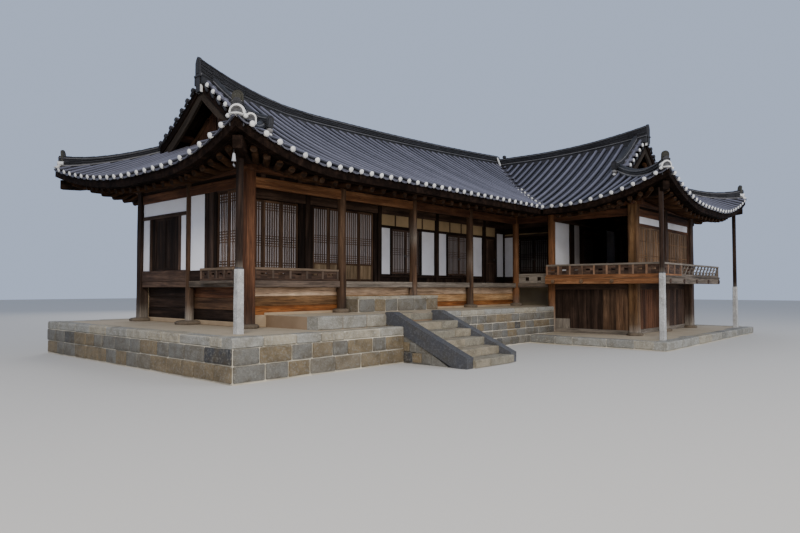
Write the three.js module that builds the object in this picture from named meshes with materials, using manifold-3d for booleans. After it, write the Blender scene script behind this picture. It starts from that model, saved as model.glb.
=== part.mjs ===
// Korean timber-framed tiled house (hanok), L-shaped, on a stepped stone platform.
// Units are millimetres. X runs along the main front, Y goes back into the house, Z is up.
// The origin is on the ground under the house's front left corner column.

import * as THREE from 'three';
import { mergeVertices } from 'three/addons/utils/BufferGeometryUtils.js';
import Module from 'manifold-3d';

const wasm = await Module();
wasm.setup();

// Column grid, one bay of the main wing is eight traditional feet
const BAY = 2420;
const FRONT_X = [0, BAY, 2 * BAY, 3 * BAY, 4 * BAY];
const DEPTH_BAY = 2120;
const BACK_Y = 2 * DEPTH_BAY;
const INNER_Y = 1210;
const WING_X = FRONT_X[4];
const WING_INNER_X = WING_X + 1210;
const WING_MID_X = 11950;
const RIGHT_X = 14220;
const WING_FRONT_Y = -3630;
const WING_BACK_Y = -1210;

// Levels
const GROUND_Z = 0;
const WING_PLATFORM_Z = 211;
const LOWER_Z = 704;
const UPPER_Z = 940;
const BLOCK_Z = 1290;
const BASE_Z = 1500;
const FLOOR_Z = 1583;
const BEAM_LOW_Z = 1490;
const BEAM_TOP_Z = 1620;
const SILL_Z = 1840;
const LINTEL_Z = 3420;
const LINTEL_TOP_Z = 3620;
const PLATE_Z = 3700;
const PLATE_TOP_Z = PLATE_Z + 500;
const COLUMN_TOP_Z = PLATE_Z + 50;
const POST_TOP_Z = 4200;
const DECK_Z = 1800;
const DECK_LOW_Z = 1590;
const DECK_UNDER_Z = 1740;

// Roof outline, measured from the column grid
const EAVE_FRONT = -1600;
const EAVE_BACK = BACK_Y + 1600;
const EAVE_LEFT = -1380;
const EAVE_WING = WING_X - 1300;
const EAVE_RIGHT = RIGHT_X + 1300;
const EAVE_WING_FRONT = WING_FRONT_Y - 1370;
const RIDGE_Y = DEPTH_BAY;
const RIDGE_X = WING_MID_X;
const GABLE_X = 600;
const VERGE_X = 200;
const GABLE_Y = -2760;
const VERGE_Y = -3160;

// Roof profile and its upturned corners
const EAVE_Z = 3660;
const ROOF_RISE = 1940;
const ROOF_RUN = 3720;
const ROOF_LINEAR = 0.76;
const RIDGE_LIFT_LEFT = 460;
const RIDGE_LIFT_RIGHT = 270;
const RIDGE_LOW_X = 3200;
const WING_RIDGE_LIFT = 250;
const WING_RIDGE_LOW_Y = 600;
const WING_RIDGE_REACH = 3800;
const EAVE_THICK = 170;
const ROOF_THICK = 360;
const VERGE_THICK = 200;

// Rows of cover tiles, of which every second one stands out of its slope as a rib
const TILE_PITCH = 280;
const SIDE_TILE_PITCH = 320;
const RIB_HEIGHT = 85;
const RIB_SINK = 30;
const RIB_WIDTH = 140;
const RIB_TOP_WIDTH = 70;

const GAP = 0.3;
const COLUMN_R = 100;
const POST = 150;
const WALL = 80;

// Materials
const paint = (color, roughness = 0.85) => new THREE.MeshStandardMaterial({ color, roughness, metalness: 0 });
const STONE = paint(0x8d8478);
const PALE_STONE = paint(0xc9c6bd);
const EARTH = paint(0x9c7a55);
const TIMBER = paint(0x5a3a24);
const ORANGE_TIMBER = paint(0x8a4d26);
const DARK_TIMBER = paint(0x3b2a20);
const PLASTER = paint(0xc9c5c3);
const PAPER_DOOR = paint(0x75695c);
const TILE = paint(0x45484f, 0.7);
const RIDGE_TILE = paint(0x34363b, 0.75);

const model = new THREE.Group();

// Closed boxes and prisms

function box(x0, x1, y0, y1, z0, z1) {
  const geometry = new THREE.BoxGeometry(x1 - x0, y1 - y0, z1 - z0);
  geometry.translate((x0 + x1) / 2, (y0 + y1) / 2, (z0 + z1) / 2);
  return toSolid(geometry);
}

function extrude(points, depth) {
  const outline = points.map(([u, v]) => new THREE.Vector2(u, v));
  if (THREE.ShapeUtils.isClockWise(outline)) outline.reverse();
  return new THREE.ExtrudeGeometry(new THREE.Shape(outline), { depth, bevelEnabled: false });
}

function prismZ(points, z0, z1) {
  const geometry = extrude(points, z1 - z0);
  geometry.translate(0, 0, z0);
  return toSolid(geometry);
}

// An outline in Y and Z, drawn out along X
function prismX(points, x0, x1) {
  const geometry = extrude(points, x1 - x0);
  const turn = new THREE.Matrix4().set(0, 0, 1, x0, 1, 0, 0, 0, 0, 1, 0, 0, 0, 0, 0, 1);
  geometry.applyMatrix4(turn);
  return toSolid(geometry);
}

// An outline in X and Z, drawn out along Y
function prismY(points, y0, y1) {
  const geometry = extrude(points, y1 - y0);
  const turn = new THREE.Matrix4().set(1, 0, 0, 0, 0, 0, -1, y1, 0, 1, 0, 0, 0, 0, 0, 1);
  geometry.applyMatrix4(turn);
  return toSolid(geometry);
}

function roundPost(x, y, z0, z1, radius = COLUMN_R, sides = 12) {
  const geometry = new THREE.CylinderGeometry(radius, radius, z1 - z0, sides);
  geometry.rotateX(Math.PI / 2);
  geometry.translate(x, y, (z0 + z1) / 2);
  return toSolid(geometry);
}

function squarePost(x, y, z0, z1, side = 2 * COLUMN_R) {
  return box(x - side / 2, x + side / 2, y - side / 2, y + side / 2, z0, z1);
}

// Solids that can be joined and cut

function toSolid(geometry) {
  const bare = geometry.clone();
  bare.deleteAttribute('normal');
  bare.deleteAttribute('uv');
  const merged = mergeVertices(bare, 1e-3);
  const vertProperties = new Float32Array(merged.attributes.position.array);
  const triVerts = new Uint32Array(merged.index.array);
  return new wasm.Manifold(new wasm.Mesh({ numProp: 3, vertProperties, triVerts }));
}

const join = (solids) => solids.reduce((all, next) => all.add(next));
const cut = (solid, tools) => tools.reduce((left, tool) => left.subtract(tool), solid);

// The largest body of a solid, without the crumbs that a cut leaves
const largest = (solid) => solid.decompose().sort((a, b) => b.volume() - a.volume())[0];

function addPiece(name, solid, material) {
  const result = largest(solid).getMesh();
  const geometry = new THREE.BufferGeometry();
  geometry.setAttribute('position', new THREE.BufferAttribute(new Float32Array(result.vertProperties), 3));
  geometry.setIndex(new THREE.BufferAttribute(new Uint32Array(result.triVerts), 1));
  const piece = new THREE.Mesh(geometry, material);
  piece.name = name;
  model.add(piece);
}

// A slab over a rectangular grid, between two height functions
function sheet(xs, ys, top, bottom) {
  const columns = xs.length;
  const layer = columns * ys.length;
  const positions = [];
  const faces = [];
  for (const height of [top, bottom]) {
    for (const y of ys) {
      for (const x of xs) positions.push(x, y, height(x, y));
    }
  }
  const quad = (a, b, c, d) => faces.push(a, b, c, a, c, d);
  for (let j = 0; j < ys.length - 1; j += 1) {
    for (let i = 0; i < columns - 1; i += 1) {
      const k = j * columns + i;
      quad(k, k + 1, k + 1 + columns, k + columns);
      quad(layer + k, layer + k + columns, layer + k + 1 + columns, layer + k + 1);
    }
  }
  for (let i = 0; i < columns - 1; i += 1) {
    const far = (ys.length - 1) * columns + i;
    quad(i, layer + i, layer + i + 1, i + 1);
    quad(far, far + 1, layer + far + 1, layer + far);
  }
  for (let j = 0; j < ys.length - 1; j += 1) {
    const near = j * columns;
    const far = near + columns - 1;
    quad(near, near + columns, layer + near + columns, layer + near);
    quad(far, layer + far, layer + far + columns, far + columns);
  }
  const geometry = new THREE.BufferGeometry();
  geometry.setAttribute('position', new THREE.Float32BufferAttribute(positions, 3));
  geometry.setIndex(faces);
  return toSolid(geometry);
}

// A band along stations [x, y], between two height functions of the station
function band(stations, width, top, bottom, topWidth = width) {
  const positions = [];
  const faces = [];
  const [first, last] = [stations[0], stations[stations.length - 1]];
  const length = Math.hypot(last[0] - first[0], last[1] - first[1]);
  const side = [-(last[1] - first[1]) / length, (last[0] - first[0]) / length];
  stations.forEach(([x, y], i) => {
    for (const [sign, height] of [[1, bottom], [-1, bottom], [-1, top], [1, top]]) {
      const reach = sign * (height === top ? topWidth : width) / 2;
      positions.push(x + reach * side[0], y + reach * side[1], height(x, y, i));
    }
  });
  const quad = (a, b, c, d) => faces.push(a, b, c, a, c, d);
  for (let i = 0; i < stations.length - 1; i += 1) {
    const [k, n] = [4 * i, 4 * i + 4];
    quad(k, n, n + 1, k + 1);
    quad(k + 1, n + 1, n + 2, k + 2);
    quad(k + 2, n + 2, n + 3, k + 3);
    quad(k + 3, n + 3, n, k);
  }
  const end = 4 * (stations.length - 1);
  quad(0, 1, 2, 3);
  quad(end, end + 3, end + 2, end + 1);
  const geometry = new THREE.BufferGeometry();
  geometry.setAttribute('position', new THREE.Float32BufferAttribute(positions, 3));
  geometry.setIndex(faces);
  return toSolid(geometry);
}

const steps = (from, to, count) => (
  Array.from({ length: count + 1 }, (_, i) => from + (to - from) * i / count));
const line = (x0, y0, x1, y1, count) => (
  steps(0, 1, count).map((t) => [x0 + (x1 - x0) * t, y0 + (y1 - y0) * t]));

// Heights of the tiled surface

// Each corner of the roof, how far it turns up and how far from it the eave starts to rise
const CORNERS = [
  [EAVE_LEFT, EAVE_FRONT, 560, 2400],
  [EAVE_LEFT, EAVE_BACK, 620, 4200],
  [EAVE_RIGHT, EAVE_BACK, 600, 3000],
  [EAVE_WING, EAVE_WING_FRONT, 680, 3000],
  [EAVE_RIGHT, EAVE_WING_FRONT, 680, 3000],
];

function rise(run) {
  const t = run / ROOF_RUN;
  return EAVE_Z + ROOF_RISE * (ROOF_LINEAR * t + (1 - ROOF_LINEAR) * t * t);
}

function cornerLift(x, y) {
  return Math.max(...CORNERS.map(([cornerX, cornerY, lift, reach]) => (
    lift * Math.max(0, 1 - Math.hypot(x - cornerX, y - cornerY) / reach) ** 2)));
}

function mainRidgeLift(x) {
  if (x < RIDGE_LOW_X) return RIDGE_LIFT_LEFT * ((RIDGE_LOW_X - x) / RIDGE_LOW_X) ** 2;
  return RIDGE_LIFT_RIGHT * Math.min(1, (x - RIDGE_LOW_X) / (RIDGE_X - RIDGE_LOW_X)) ** 2;
}

// The wing's ridge meets the main ridge at its back end and rises to its free front end
function wingRidgeLift(y) {
  const back = Math.max(0, (y - WING_RIDGE_LOW_Y) / (RIDGE_Y - WING_RIDGE_LOW_Y));
  const front = Math.max(0, (WING_RIDGE_LOW_Y - y) / WING_RIDGE_REACH);
  return WING_RIDGE_LIFT * (1 + front * front) + (RIDGE_LIFT_RIGHT - WING_RIDGE_LIFT) * Math.min(1, back);
}

function surface(run, lift, x, y) {
  const t = run / ROOF_RUN;
  return rise(run) + lift * t * t + cornerLift(x, y);
}

const frontZ = (x, y) => surface(y - EAVE_FRONT, mainRidgeLift(x), x, y);
const backZ = (x, y) => surface(EAVE_BACK - y, mainRidgeLift(x), x, y);
const leftZ = (x, y) => surface(x - EAVE_LEFT, mainRidgeLift(x), x, y);
const innerZ = (x, y) => surface(x - EAVE_WING, wingRidgeLift(y), x, y);
const outerZ = (x, y) => surface(EAVE_RIGHT - x, wingRidgeLift(y), x, y);
const wingFrontZ = (x, y) => surface(y - EAVE_WING_FRONT, wingRidgeLift(y), x, y);

// How thick the roof is, at a distance from its eave
function thickness(run) {
  return EAVE_THICK + (ROOF_THICK - EAVE_THICK) * Math.min(1, Math.max(0, run) / 500);
}

// The six tiled slopes. An outline takes the gap that it keeps to its neighbours at hips and valleys.

const HALF = GAP / 2;
const OVERLAP = -1;
const LEFT_HIP_Y = EAVE_FRONT + (GABLE_X - EAVE_LEFT);
const LEFT_HIP_BACK_Y = EAVE_BACK - (GABLE_X - EAVE_LEFT);
const WING_HIP_X = EAVE_WING + (GABLE_Y - EAVE_WING_FRONT);
const WING_HIP_RIGHT_X = EAVE_RIGHT - (GABLE_Y - EAVE_WING_FRONT);
const VALLEY_TOP_Y = EAVE_FRONT + (RIDGE_X - EAVE_WING);
const HIP_TOP_Y = EAVE_BACK - (EAVE_RIGHT - RIDGE_X);
const MAIN_X_LINES = [
  EAVE_LEFT, -1000, -600, -200, VERGE_X, GABLE_X - 20, GABLE_X, 1500, 3000, 5000, 7000, 9000, RIDGE_X];
const MAIN_RUNS = [0, 500, 1200, GABLE_X - EAVE_LEFT, 2800, ROOF_RUN];
const WING_Y_LINES = [
  EAVE_WING_FRONT, -4600, -4200, -3700, VERGE_Y, GABLE_Y - 20, GABLE_Y, -1600, 0, VALLEY_TOP_Y];
const WING_RUNS = [0, 500, 1200, GABLE_Y - EAVE_WING_FRONT, RIDGE_X - EAVE_WING];

const slopes = {
  roof_front_slope: {
    xs: MAIN_X_LINES,
    ys: MAIN_RUNS.map((run) => EAVE_FRONT + run),
    height: frontZ,
    run: (x, y) => y - EAVE_FRONT,
    rows: { along: 'y', span: [EAVE_LEFT, RIDGE_X], pitch: TILE_PITCH },
    verge: (x, y) => x < GABLE_X - 10 && y > LEFT_HIP_Y,
    outline: (gap) => [
      [EAVE_LEFT + gap, EAVE_FRONT],
      [EAVE_WING - gap, EAVE_FRONT],
      [RIDGE_X - gap, VALLEY_TOP_Y],
      [RIDGE_X - gap, RIDGE_Y - gap],
      [VERGE_X, RIDGE_Y - gap],
      [VERGE_X, LEFT_HIP_Y + gap],
      [GABLE_X + gap, LEFT_HIP_Y + gap],
    ],
  },
  roof_back_slope: {
    xs: [...MAIN_X_LINES, 13000, 14200, EAVE_RIGHT],
    ys: MAIN_RUNS.map((run) => EAVE_BACK - run).reverse(),
    height: backZ,
    run: (x, y) => EAVE_BACK - y,
    rows: { along: 'y', span: [EAVE_LEFT, EAVE_RIGHT], pitch: TILE_PITCH },
    verge: (x, y) => x < GABLE_X - 10 && y < LEFT_HIP_BACK_Y,
    outline: (gap) => [
      [EAVE_RIGHT - gap, EAVE_BACK],
      [EAVE_LEFT + gap, EAVE_BACK],
      [GABLE_X + gap, LEFT_HIP_BACK_Y - gap],
      [VERGE_X, LEFT_HIP_BACK_Y - gap],
      [VERGE_X, RIDGE_Y + gap],
      [RIDGE_X - gap, RIDGE_Y + gap],
      [RIDGE_X - gap, HIP_TOP_Y],
    ],
  },
  roof_left_hip: {
    xs: [0, 500, 1200, GABLE_X - EAVE_LEFT].map((run) => EAVE_LEFT + run),
    ys: [EAVE_FRONT, -1200, -700, -200, LEFT_HIP_Y, 1200, 3040, LEFT_HIP_BACK_Y, 4840, 5440, EAVE_BACK],
    height: leftZ,
    run: (x) => x - EAVE_LEFT,
    rows: { along: 'x', span: [EAVE_FRONT, EAVE_BACK], pitch: SIDE_TILE_PITCH },
    verge: () => false,
    outline: (gap) => [
      [EAVE_LEFT, EAVE_FRONT + gap],
      [GABLE_X, LEFT_HIP_Y + gap],
      [GABLE_X, LEFT_HIP_BACK_Y - gap],
      [EAVE_LEFT, EAVE_BACK - gap],
    ],
  },
  wing_roof_inner_slope: {
    xs: WING_RUNS.map((run) => EAVE_WING + run),
    ys: WING_Y_LINES,
    height: innerZ,
    run: (x) => x - EAVE_WING,
    rows: { along: 'x', span: [EAVE_WING_FRONT, VALLEY_TOP_Y], pitch: TILE_PITCH },
    verge: (x, y) => y < GABLE_Y - 10 && x > WING_HIP_X,
    outline: (gap) => [
      [EAVE_WING, EAVE_WING_FRONT + gap],
      [WING_HIP_X + gap, GABLE_Y + gap],
      [WING_HIP_X + gap, VERGE_Y],
      [RIDGE_X - gap, VERGE_Y],
      [RIDGE_X - gap, VALLEY_TOP_Y - gap],
      [EAVE_WING, EAVE_FRONT - gap],
    ],
  },
  wing_roof_outer_slope: {
    xs: WING_RUNS.map((run) => EAVE_RIGHT - run).reverse(),
    ys: [...WING_Y_LINES, RIDGE_Y, HIP_TOP_Y, 3600, 4900, EAVE_BACK],
    height: outerZ,
    run: (x) => EAVE_RIGHT - x,
    rows: { along: 'x', span: [EAVE_WING_FRONT, EAVE_BACK], pitch: TILE_PITCH },
    verge: (x, y) => y < GABLE_Y - 10 && x < WING_HIP_RIGHT_X,
    outline: (gap) => [
      [EAVE_RIGHT, EAVE_WING_FRONT + gap],
      [EAVE_RIGHT, EAVE_BACK - gap],
      [RIDGE_X + gap, HIP_TOP_Y - gap],
      [RIDGE_X + gap, VERGE_Y],
      [WING_HIP_RIGHT_X - gap, VERGE_Y],
      [WING_HIP_RIGHT_X - gap, GABLE_Y + gap],
    ],
  },
  wing_roof_front_hip: {
    xs: [EAVE_WING, 8780, 9200, 9800, WING_HIP_X, RIDGE_X, WING_HIP_RIGHT_X, 14100, 14700, 15120, EAVE_RIGHT],
    ys: [0, 500, 1200, GABLE_Y - EAVE_WING_FRONT].map((run) => EAVE_WING_FRONT + run),
    height: wingFrontZ,
    run: (x, y) => y - EAVE_WING_FRONT,
    rows: { along: 'y', span: [EAVE_WING, EAVE_RIGHT], pitch: TILE_PITCH },
    verge: () => false,
    outline: (gap) => [
      [EAVE_WING + gap, EAVE_WING_FRONT],
      [EAVE_RIGHT - gap, EAVE_WING_FRONT],
      [WING_HIP_RIGHT_X - gap, GABLE_Y],
      [WING_HIP_X + gap, GABLE_Y],
    ],
  },
};

const underside = ({ height, run, verge }) => (x, y) => (
  height(x, y) - (verge(x, y) ? VERGE_THICK : thickness(run(x, y))));

const clipped = ({ xs, ys, outline }, top, bottom, gap) => (
  sheet(xs, ys, top, bottom).intersect(prismZ(outline(gap), 1000, 9000)));

const slopeSolid = (slope) => clipped(slope, slope.height, underside(slope), HALF);

// The space under a slope's tiles, and the space over its underside, to trim what meets the roof
const underTiles = (slope) => clipped(slope, (x, y) => slope.height(x, y) + GAP, () => 2000, OVERLAP);
const overUnderside = (slope) => clipped(slope, () => 8000, (x, y) => underside(slope)(x, y) - GAP, OVERLAP);

const names = Object.keys(slopes);
const tileCutters = Object.fromEntries(names.map((name) => [name, underTiles(slopes[name])]));
const roofCutters = Object.fromEntries(names.map((name) => [name, overUnderside(slopes[name])]));
const onRoof = (solid) => cut(solid, Object.values(tileCutters));
const underRoof = (solid) => cut(solid, Object.values(roofCutters));
const MAIN_SLOPES = ['roof_front_slope', 'roof_back_slope'];
const WING_SLOPES = ['wing_roof_inner_slope', 'wing_roof_outer_slope'];

// Where the ridges of stacked tiles run

const RIDGE_WIDTH = 260;
const HIP_WIDTH = 240;
const RIDGE_START_X = VERGE_X - 50;
const RIDGE_START_Y = VERGE_Y - 60;
const DESCENT_INSET = 280;
const DESCENT_X = VERGE_X + DESCENT_INSET;
const DESCENT_Y = VERGE_Y + DESCENT_INSET;
const DESCENT_PAST_HIP = 350;
const CORNER_INSET = 60;
const mainDescentFront = line(
  DESCENT_X, RIDGE_Y - RIDGE_WIDTH / 2 - 1, DESCENT_X, LEFT_HIP_Y - DESCENT_PAST_HIP, 6);
const mainDescentBack = line(
  DESCENT_X, RIDGE_Y + RIDGE_WIDTH / 2 + 1, DESCENT_X, LEFT_HIP_BACK_Y + DESCENT_PAST_HIP, 6);
const leftHipFront = line(
  GABLE_X - 40, LEFT_HIP_Y - 40, EAVE_LEFT + CORNER_INSET, EAVE_FRONT + CORNER_INSET, 7);
const leftHipBack = line(
  GABLE_X - 40, LEFT_HIP_BACK_Y + 40, EAVE_LEFT + CORNER_INSET, EAVE_BACK - CORNER_INSET, 7);
const wingDescentLeft = line(
  RIDGE_X - RIDGE_WIDTH / 2 - 1, DESCENT_Y, WING_HIP_X - DESCENT_PAST_HIP, DESCENT_Y, 6);
const wingDescentRight = line(
  RIDGE_X + RIDGE_WIDTH / 2 + 1, DESCENT_Y, WING_HIP_RIGHT_X + DESCENT_PAST_HIP, DESCENT_Y, 6);
const wingHipLeft = line(
  WING_HIP_X - 40, GABLE_Y - 40, EAVE_WING + CORNER_INSET, EAVE_WING_FRONT + CORNER_INSET, 7);
const wingHipRight = line(
  WING_HIP_RIGHT_X + 40, GABLE_Y - 40, EAVE_RIGHT - CORNER_INSET, EAVE_WING_FRONT + CORNER_INSET, 7);
const backHip = line(
  RIDGE_X + 100, HIP_TOP_Y + 100, EAVE_RIGHT - CORNER_INSET, EAVE_BACK - CORNER_INSET, 9);

// Tile rows that stand out of a slope. They stop beside the ridges and in front of the verge boards.

const [ZONE_LOW, ZONE_HIGH] = [1000, 9000];
const ZONE_END = 60;
const GABLE_WALL = 100;
const VERGE_BOARD = 60;
const BOARD_INSET = 80;

function ridgeZone(stations, width) {
  const [[x0, y0], [x1, y1]] = [stations[0], stations[stations.length - 1]];
  const length = Math.hypot(x1 - x0, y1 - y0);
  const [dx, dy] = [(x1 - x0) * ZONE_END / length, (y1 - y0) * ZONE_END / length];
  const ends = [[x0 - dx, y0 - dy], [x1 + dx, y1 + dy]];
  return band(ends, width + 2 * GAP, () => ZONE_HIGH, () => ZONE_LOW);
}

const ridgeZones = [
  ridgeZone([[RIDGE_START_X, RIDGE_Y], [RIDGE_X, RIDGE_Y]], RIDGE_WIDTH),
  ridgeZone([[RIDGE_X, RIDGE_START_Y], [RIDGE_X, RIDGE_Y]], RIDGE_WIDTH),
  ...[
    mainDescentFront, mainDescentBack, leftHipFront, leftHipBack,
    wingDescentLeft, wingDescentRight, wingHipLeft, wingHipRight, backHip,
  ].map((stations) => ridgeZone(stations, HIP_WIDTH)),
];

const boardFace = BOARD_INSET - VERGE_BOARD / 2 - GAP;
const vergeZones = {
  roof_left_hip: [box(VERGE_X + boardFace, RIDGE_X, EAVE_FRONT, EAVE_BACK, ZONE_LOW, ZONE_HIGH)],
  wing_roof_front_hip: [
    box(EAVE_WING, EAVE_RIGHT, VERGE_Y + boardFace, RIDGE_Y, ZONE_LOW, ZONE_HIGH)],
};

function ribs({ xs, ys, height, outline, rows: { along, span: [first, last], pitch } }) {
  const places = steps(first, last, Math.round((last - first) / pitch)).filter((_, i) => i % 2 === 1);
  const stations = (at) => (along === 'y' ? ys.map((y) => [at, y]) : xs.map((x) => [x, at]));
  const rows = places.map((at) => band(
    stations(at), RIB_WIDTH, (x, y) => height(x, y) + RIB_HEIGHT,
    (x, y) => height(x, y) - RIB_SINK, RIB_TOP_WIDTH));
  return join(rows).intersect(prismZ(outline(HALF), ZONE_LOW, ZONE_HIGH));
}

for (const name of names) {
  const slope = slopes[name];
  const clearRibs = cut(ribs(slope), [...ridgeZones, ...(vergeZones[name] || [])]);
  const vergeOver = { roof_left_hip: MAIN_SLOPES, wing_roof_front_hip: WING_SLOPES }[name] || [];
  const tiled = slopeSolid(slope).add(clearRibs);
  addPiece(name, cut(tiled, vergeOver.map((over) => roofCutters[over])), TILE);
}

// Ridges of stacked tiles

const RIDGE_HEIGHT = 310;
const RIDGE_FOOT = 150;
const MAIN_END_RISE = 170;
const WING_END_RISE = 110;
const HIP_HEIGHT = 260;
const HIP_FOOT = 120;
const HIP_TIP_RISE = 100;
const DESCENT_TIP_RISE = 200;
const TIP_POWER = 4;

function ridgeLines() {
  const mainTop = (x) => (
    frontZ(x, RIDGE_Y) + RIDGE_HEIGHT + MAIN_END_RISE * Math.max(0, (RIDGE_LOW_X - x) / RIDGE_LOW_X) ** 2);
  const wingTop = (x, y) => (
    innerZ(RIDGE_X, y) + RIDGE_HEIGHT + WING_END_RISE * Math.max(0, y / RIDGE_START_Y) ** 2);
  const mainXs = [RIDGE_START_X, 600, 1100, 1700, 2400, 3200, 5000, 7000, 9000, 10500, RIDGE_X];
  const mainBand = band(
    mainXs.map((x) => [x, RIDGE_Y]), RIDGE_WIDTH, mainTop, (x) => frontZ(x, RIDGE_Y) - RIDGE_FOOT);
  const wingYs = [RIDGE_START_Y, -2700, -1600, -700, 0, 1000, RIDGE_Y + RIDGE_WIDTH / 2];
  const wingBand = band(
    wingYs.map((y) => [RIDGE_X, y]), RIDGE_WIDTH, wingTop, (x, y) => innerZ(RIDGE_X, y) - RIDGE_FOOT);
  return join([mainBand, wingBand]);
}

// A ridge down a slope, whose free end turns up
function fallingRidge(stations, height, tipRise) {
  const last = stations.length - 1;
  const top = (x, y, i) => height(x, y) + HIP_HEIGHT + tipRise * (i / last) ** TIP_POWER;
  return band(stations, HIP_WIDTH, top, (x, y) => height(x, y) - HIP_FOOT);
}

// A descending ridge beside the verge, with the hip ridge that runs on to the roof's corner
const cornerRidge = (descent, hip, height) => join([
  fallingRidge(descent, height, DESCENT_TIP_RISE), fallingRidge(hip, height, HIP_TIP_RISE)]);

const cornerRidges = {
  ridge_left_front: cornerRidge(mainDescentFront, leftHipFront, frontZ),
  ridge_left_back: cornerRidge(mainDescentBack, leftHipBack, backZ),
  ridge_wing_left: cornerRidge(wingDescentLeft, wingHipLeft, innerZ),
  ridge_wing_right: cornerRidge(wingDescentRight, wingHipRight, outerZ),
  ridge_back_right: fallingRidge(backHip, outerZ, HIP_TIP_RISE),
};
addPiece('roof_ridge', onRoof(ridgeLines()), RIDGE_TILE);
for (const [name, solid] of Object.entries(cornerRidges)) addPiece(name, onRoof(solid), RIDGE_TILE);

// Gables: a boarded wall back under the verge, and the boards that edge the verge

const GABLE_FOOT = 300;
const BOARD_DROP = 240;
const PURLIN = 140;

function leftGable() {
  const ys = [LEFT_HIP_Y + 20, 700, 1200, 1700, RIDGE_Y, 2540, 3040, 3540, LEFT_HIP_BACK_Y - 20];
  const roofZ = (x, y) => (y < RIDGE_Y ? frontZ(x, y) : backZ(x, y));
  const wall = band(
    ys.map((y) => [GABLE_X + GABLE_WALL / 2 + 1, y]), GABLE_WALL, (x, y) => roofZ(x, y) - 100,
    () => rise(GABLE_X - EAVE_LEFT) - GABLE_FOOT);
  const boards = band(
    ys.map((y) => [VERGE_X + BOARD_INSET, y]), VERGE_BOARD, (x, y) => roofZ(x, y) - 60,
    (x, y) => roofZ(x, y) - VERGE_THICK - BOARD_DROP);
  const purlins = [[RIDGE_Y, 130], [1100, 110], [3140, 110]].map(([y, drop]) => box(
    VERGE_X + 60, GABLE_X + 40, y - PURLIN / 2, y + PURLIN / 2,
    roofZ(VERGE_X, y) - VERGE_THICK - drop - PURLIN, roofZ(VERGE_X, y) - VERGE_THICK - drop));
  const trimmed = cut(join([wall, boards, ...purlins]), MAIN_SLOPES.map((name) => roofCutters[name]));
  return trimmed.subtract(tileCutters.roof_left_hip);
}

function wingGable() {
  const xs = [WING_HIP_X + 20, 11100, 11500, RIDGE_X, 12400, 12800, WING_HIP_RIGHT_X - 20];
  const roofZ = (x, y) => (x < RIDGE_X ? innerZ(x, y) : outerZ(x, y));
  const wall = band(
    xs.map((x) => [x, GABLE_Y + GABLE_WALL / 2 + 1]), GABLE_WALL, (x, y) => roofZ(x, y) - 100,
    () => rise(GABLE_Y - EAVE_WING_FRONT) - GABLE_FOOT);
  const boards = band(
    xs.map((x) => [x, VERGE_Y + BOARD_INSET]), VERGE_BOARD, (x, y) => roofZ(x, y) - 60,
    (x, y) => roofZ(x, y) - VERGE_THICK - BOARD_DROP);
  const purlins = [[RIDGE_X, 130], [11200, 110], [12700, 110]].map(([x, drop]) => box(
    x - PURLIN / 2, x + PURLIN / 2, VERGE_Y + 60, GABLE_Y + 40,
    roofZ(x, VERGE_Y) - VERGE_THICK - drop - PURLIN, roofZ(x, VERGE_Y) - VERGE_THICK - drop));
  const trimmed = cut(join([wall, boards, ...purlins]), WING_SLOPES.map((name) => roofCutters[name]));
  return trimmed.subtract(tileCutters.wing_roof_front_hip);
}

addPiece('gable_left', leftGable(), DARK_TIMBER);
addPiece('gable_wing', wingGable(), DARK_TIMBER);

// Stone platforms

const TERRACE_FRONT_Y = -1450;
const LOWER_FRONT_Y = -1918;
const LOWER_LEFT_X = -1607;
const TERRACE_X = 500;
const TERRACE_RIGHT_X = 9300;
const TERRACE_NOTCH_Y = -900;
const PLATFORM_BACK_Y = 5440;
const PLATFORM_RIGHT_X = 15400;
const WING_PLATFORM_X = 7950;
const WING_PLATFORM_RIGHT_X = 15950;
const WING_PLATFORM_Y = -5045;

addPiece('upper_terrace', prismZ([
  [TERRACE_X, TERRACE_FRONT_Y],
  [TERRACE_RIGHT_X, TERRACE_FRONT_Y],
  [TERRACE_RIGHT_X, TERRACE_NOTCH_Y],
  [PLATFORM_RIGHT_X, TERRACE_NOTCH_Y],
  [PLATFORM_RIGHT_X, PLATFORM_BACK_Y],
  [TERRACE_X, PLATFORM_BACK_Y],
], GROUND_Z, UPPER_Z), STONE);

const STAIR_LEFT_X = 2300;
addPiece('lower_terrace', prismZ([
  [LOWER_LEFT_X, LOWER_FRONT_Y],
  [STAIR_LEFT_X, LOWER_FRONT_Y],
  [STAIR_LEFT_X, TERRACE_FRONT_Y],
  [TERRACE_X, TERRACE_FRONT_Y],
  [TERRACE_X, PLATFORM_BACK_Y],
  [LOWER_LEFT_X, PLATFORM_BACK_Y],
], GROUND_Z, LOWER_Z), STONE);

addPiece('wing_platform', prismZ([
  [WING_PLATFORM_X, WING_PLATFORM_Y],
  [WING_PLATFORM_RIGHT_X, WING_PLATFORM_Y],
  [WING_PLATFORM_RIGHT_X, TERRACE_NOTCH_Y],
  [TERRACE_RIGHT_X, TERRACE_NOTCH_Y],
  [TERRACE_RIGHT_X, TERRACE_FRONT_Y],
  [WING_PLATFORM_X, TERRACE_FRONT_Y],
], GROUND_Z, WING_PLATFORM_Z), STONE);

// A flight of stone steps between sloping cheeks, up to the upper terrace

const STAIR_RIGHT_X = 3970;
const CHEEK = 180;
const RISERS = 6;
const TREAD = 340;

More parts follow.
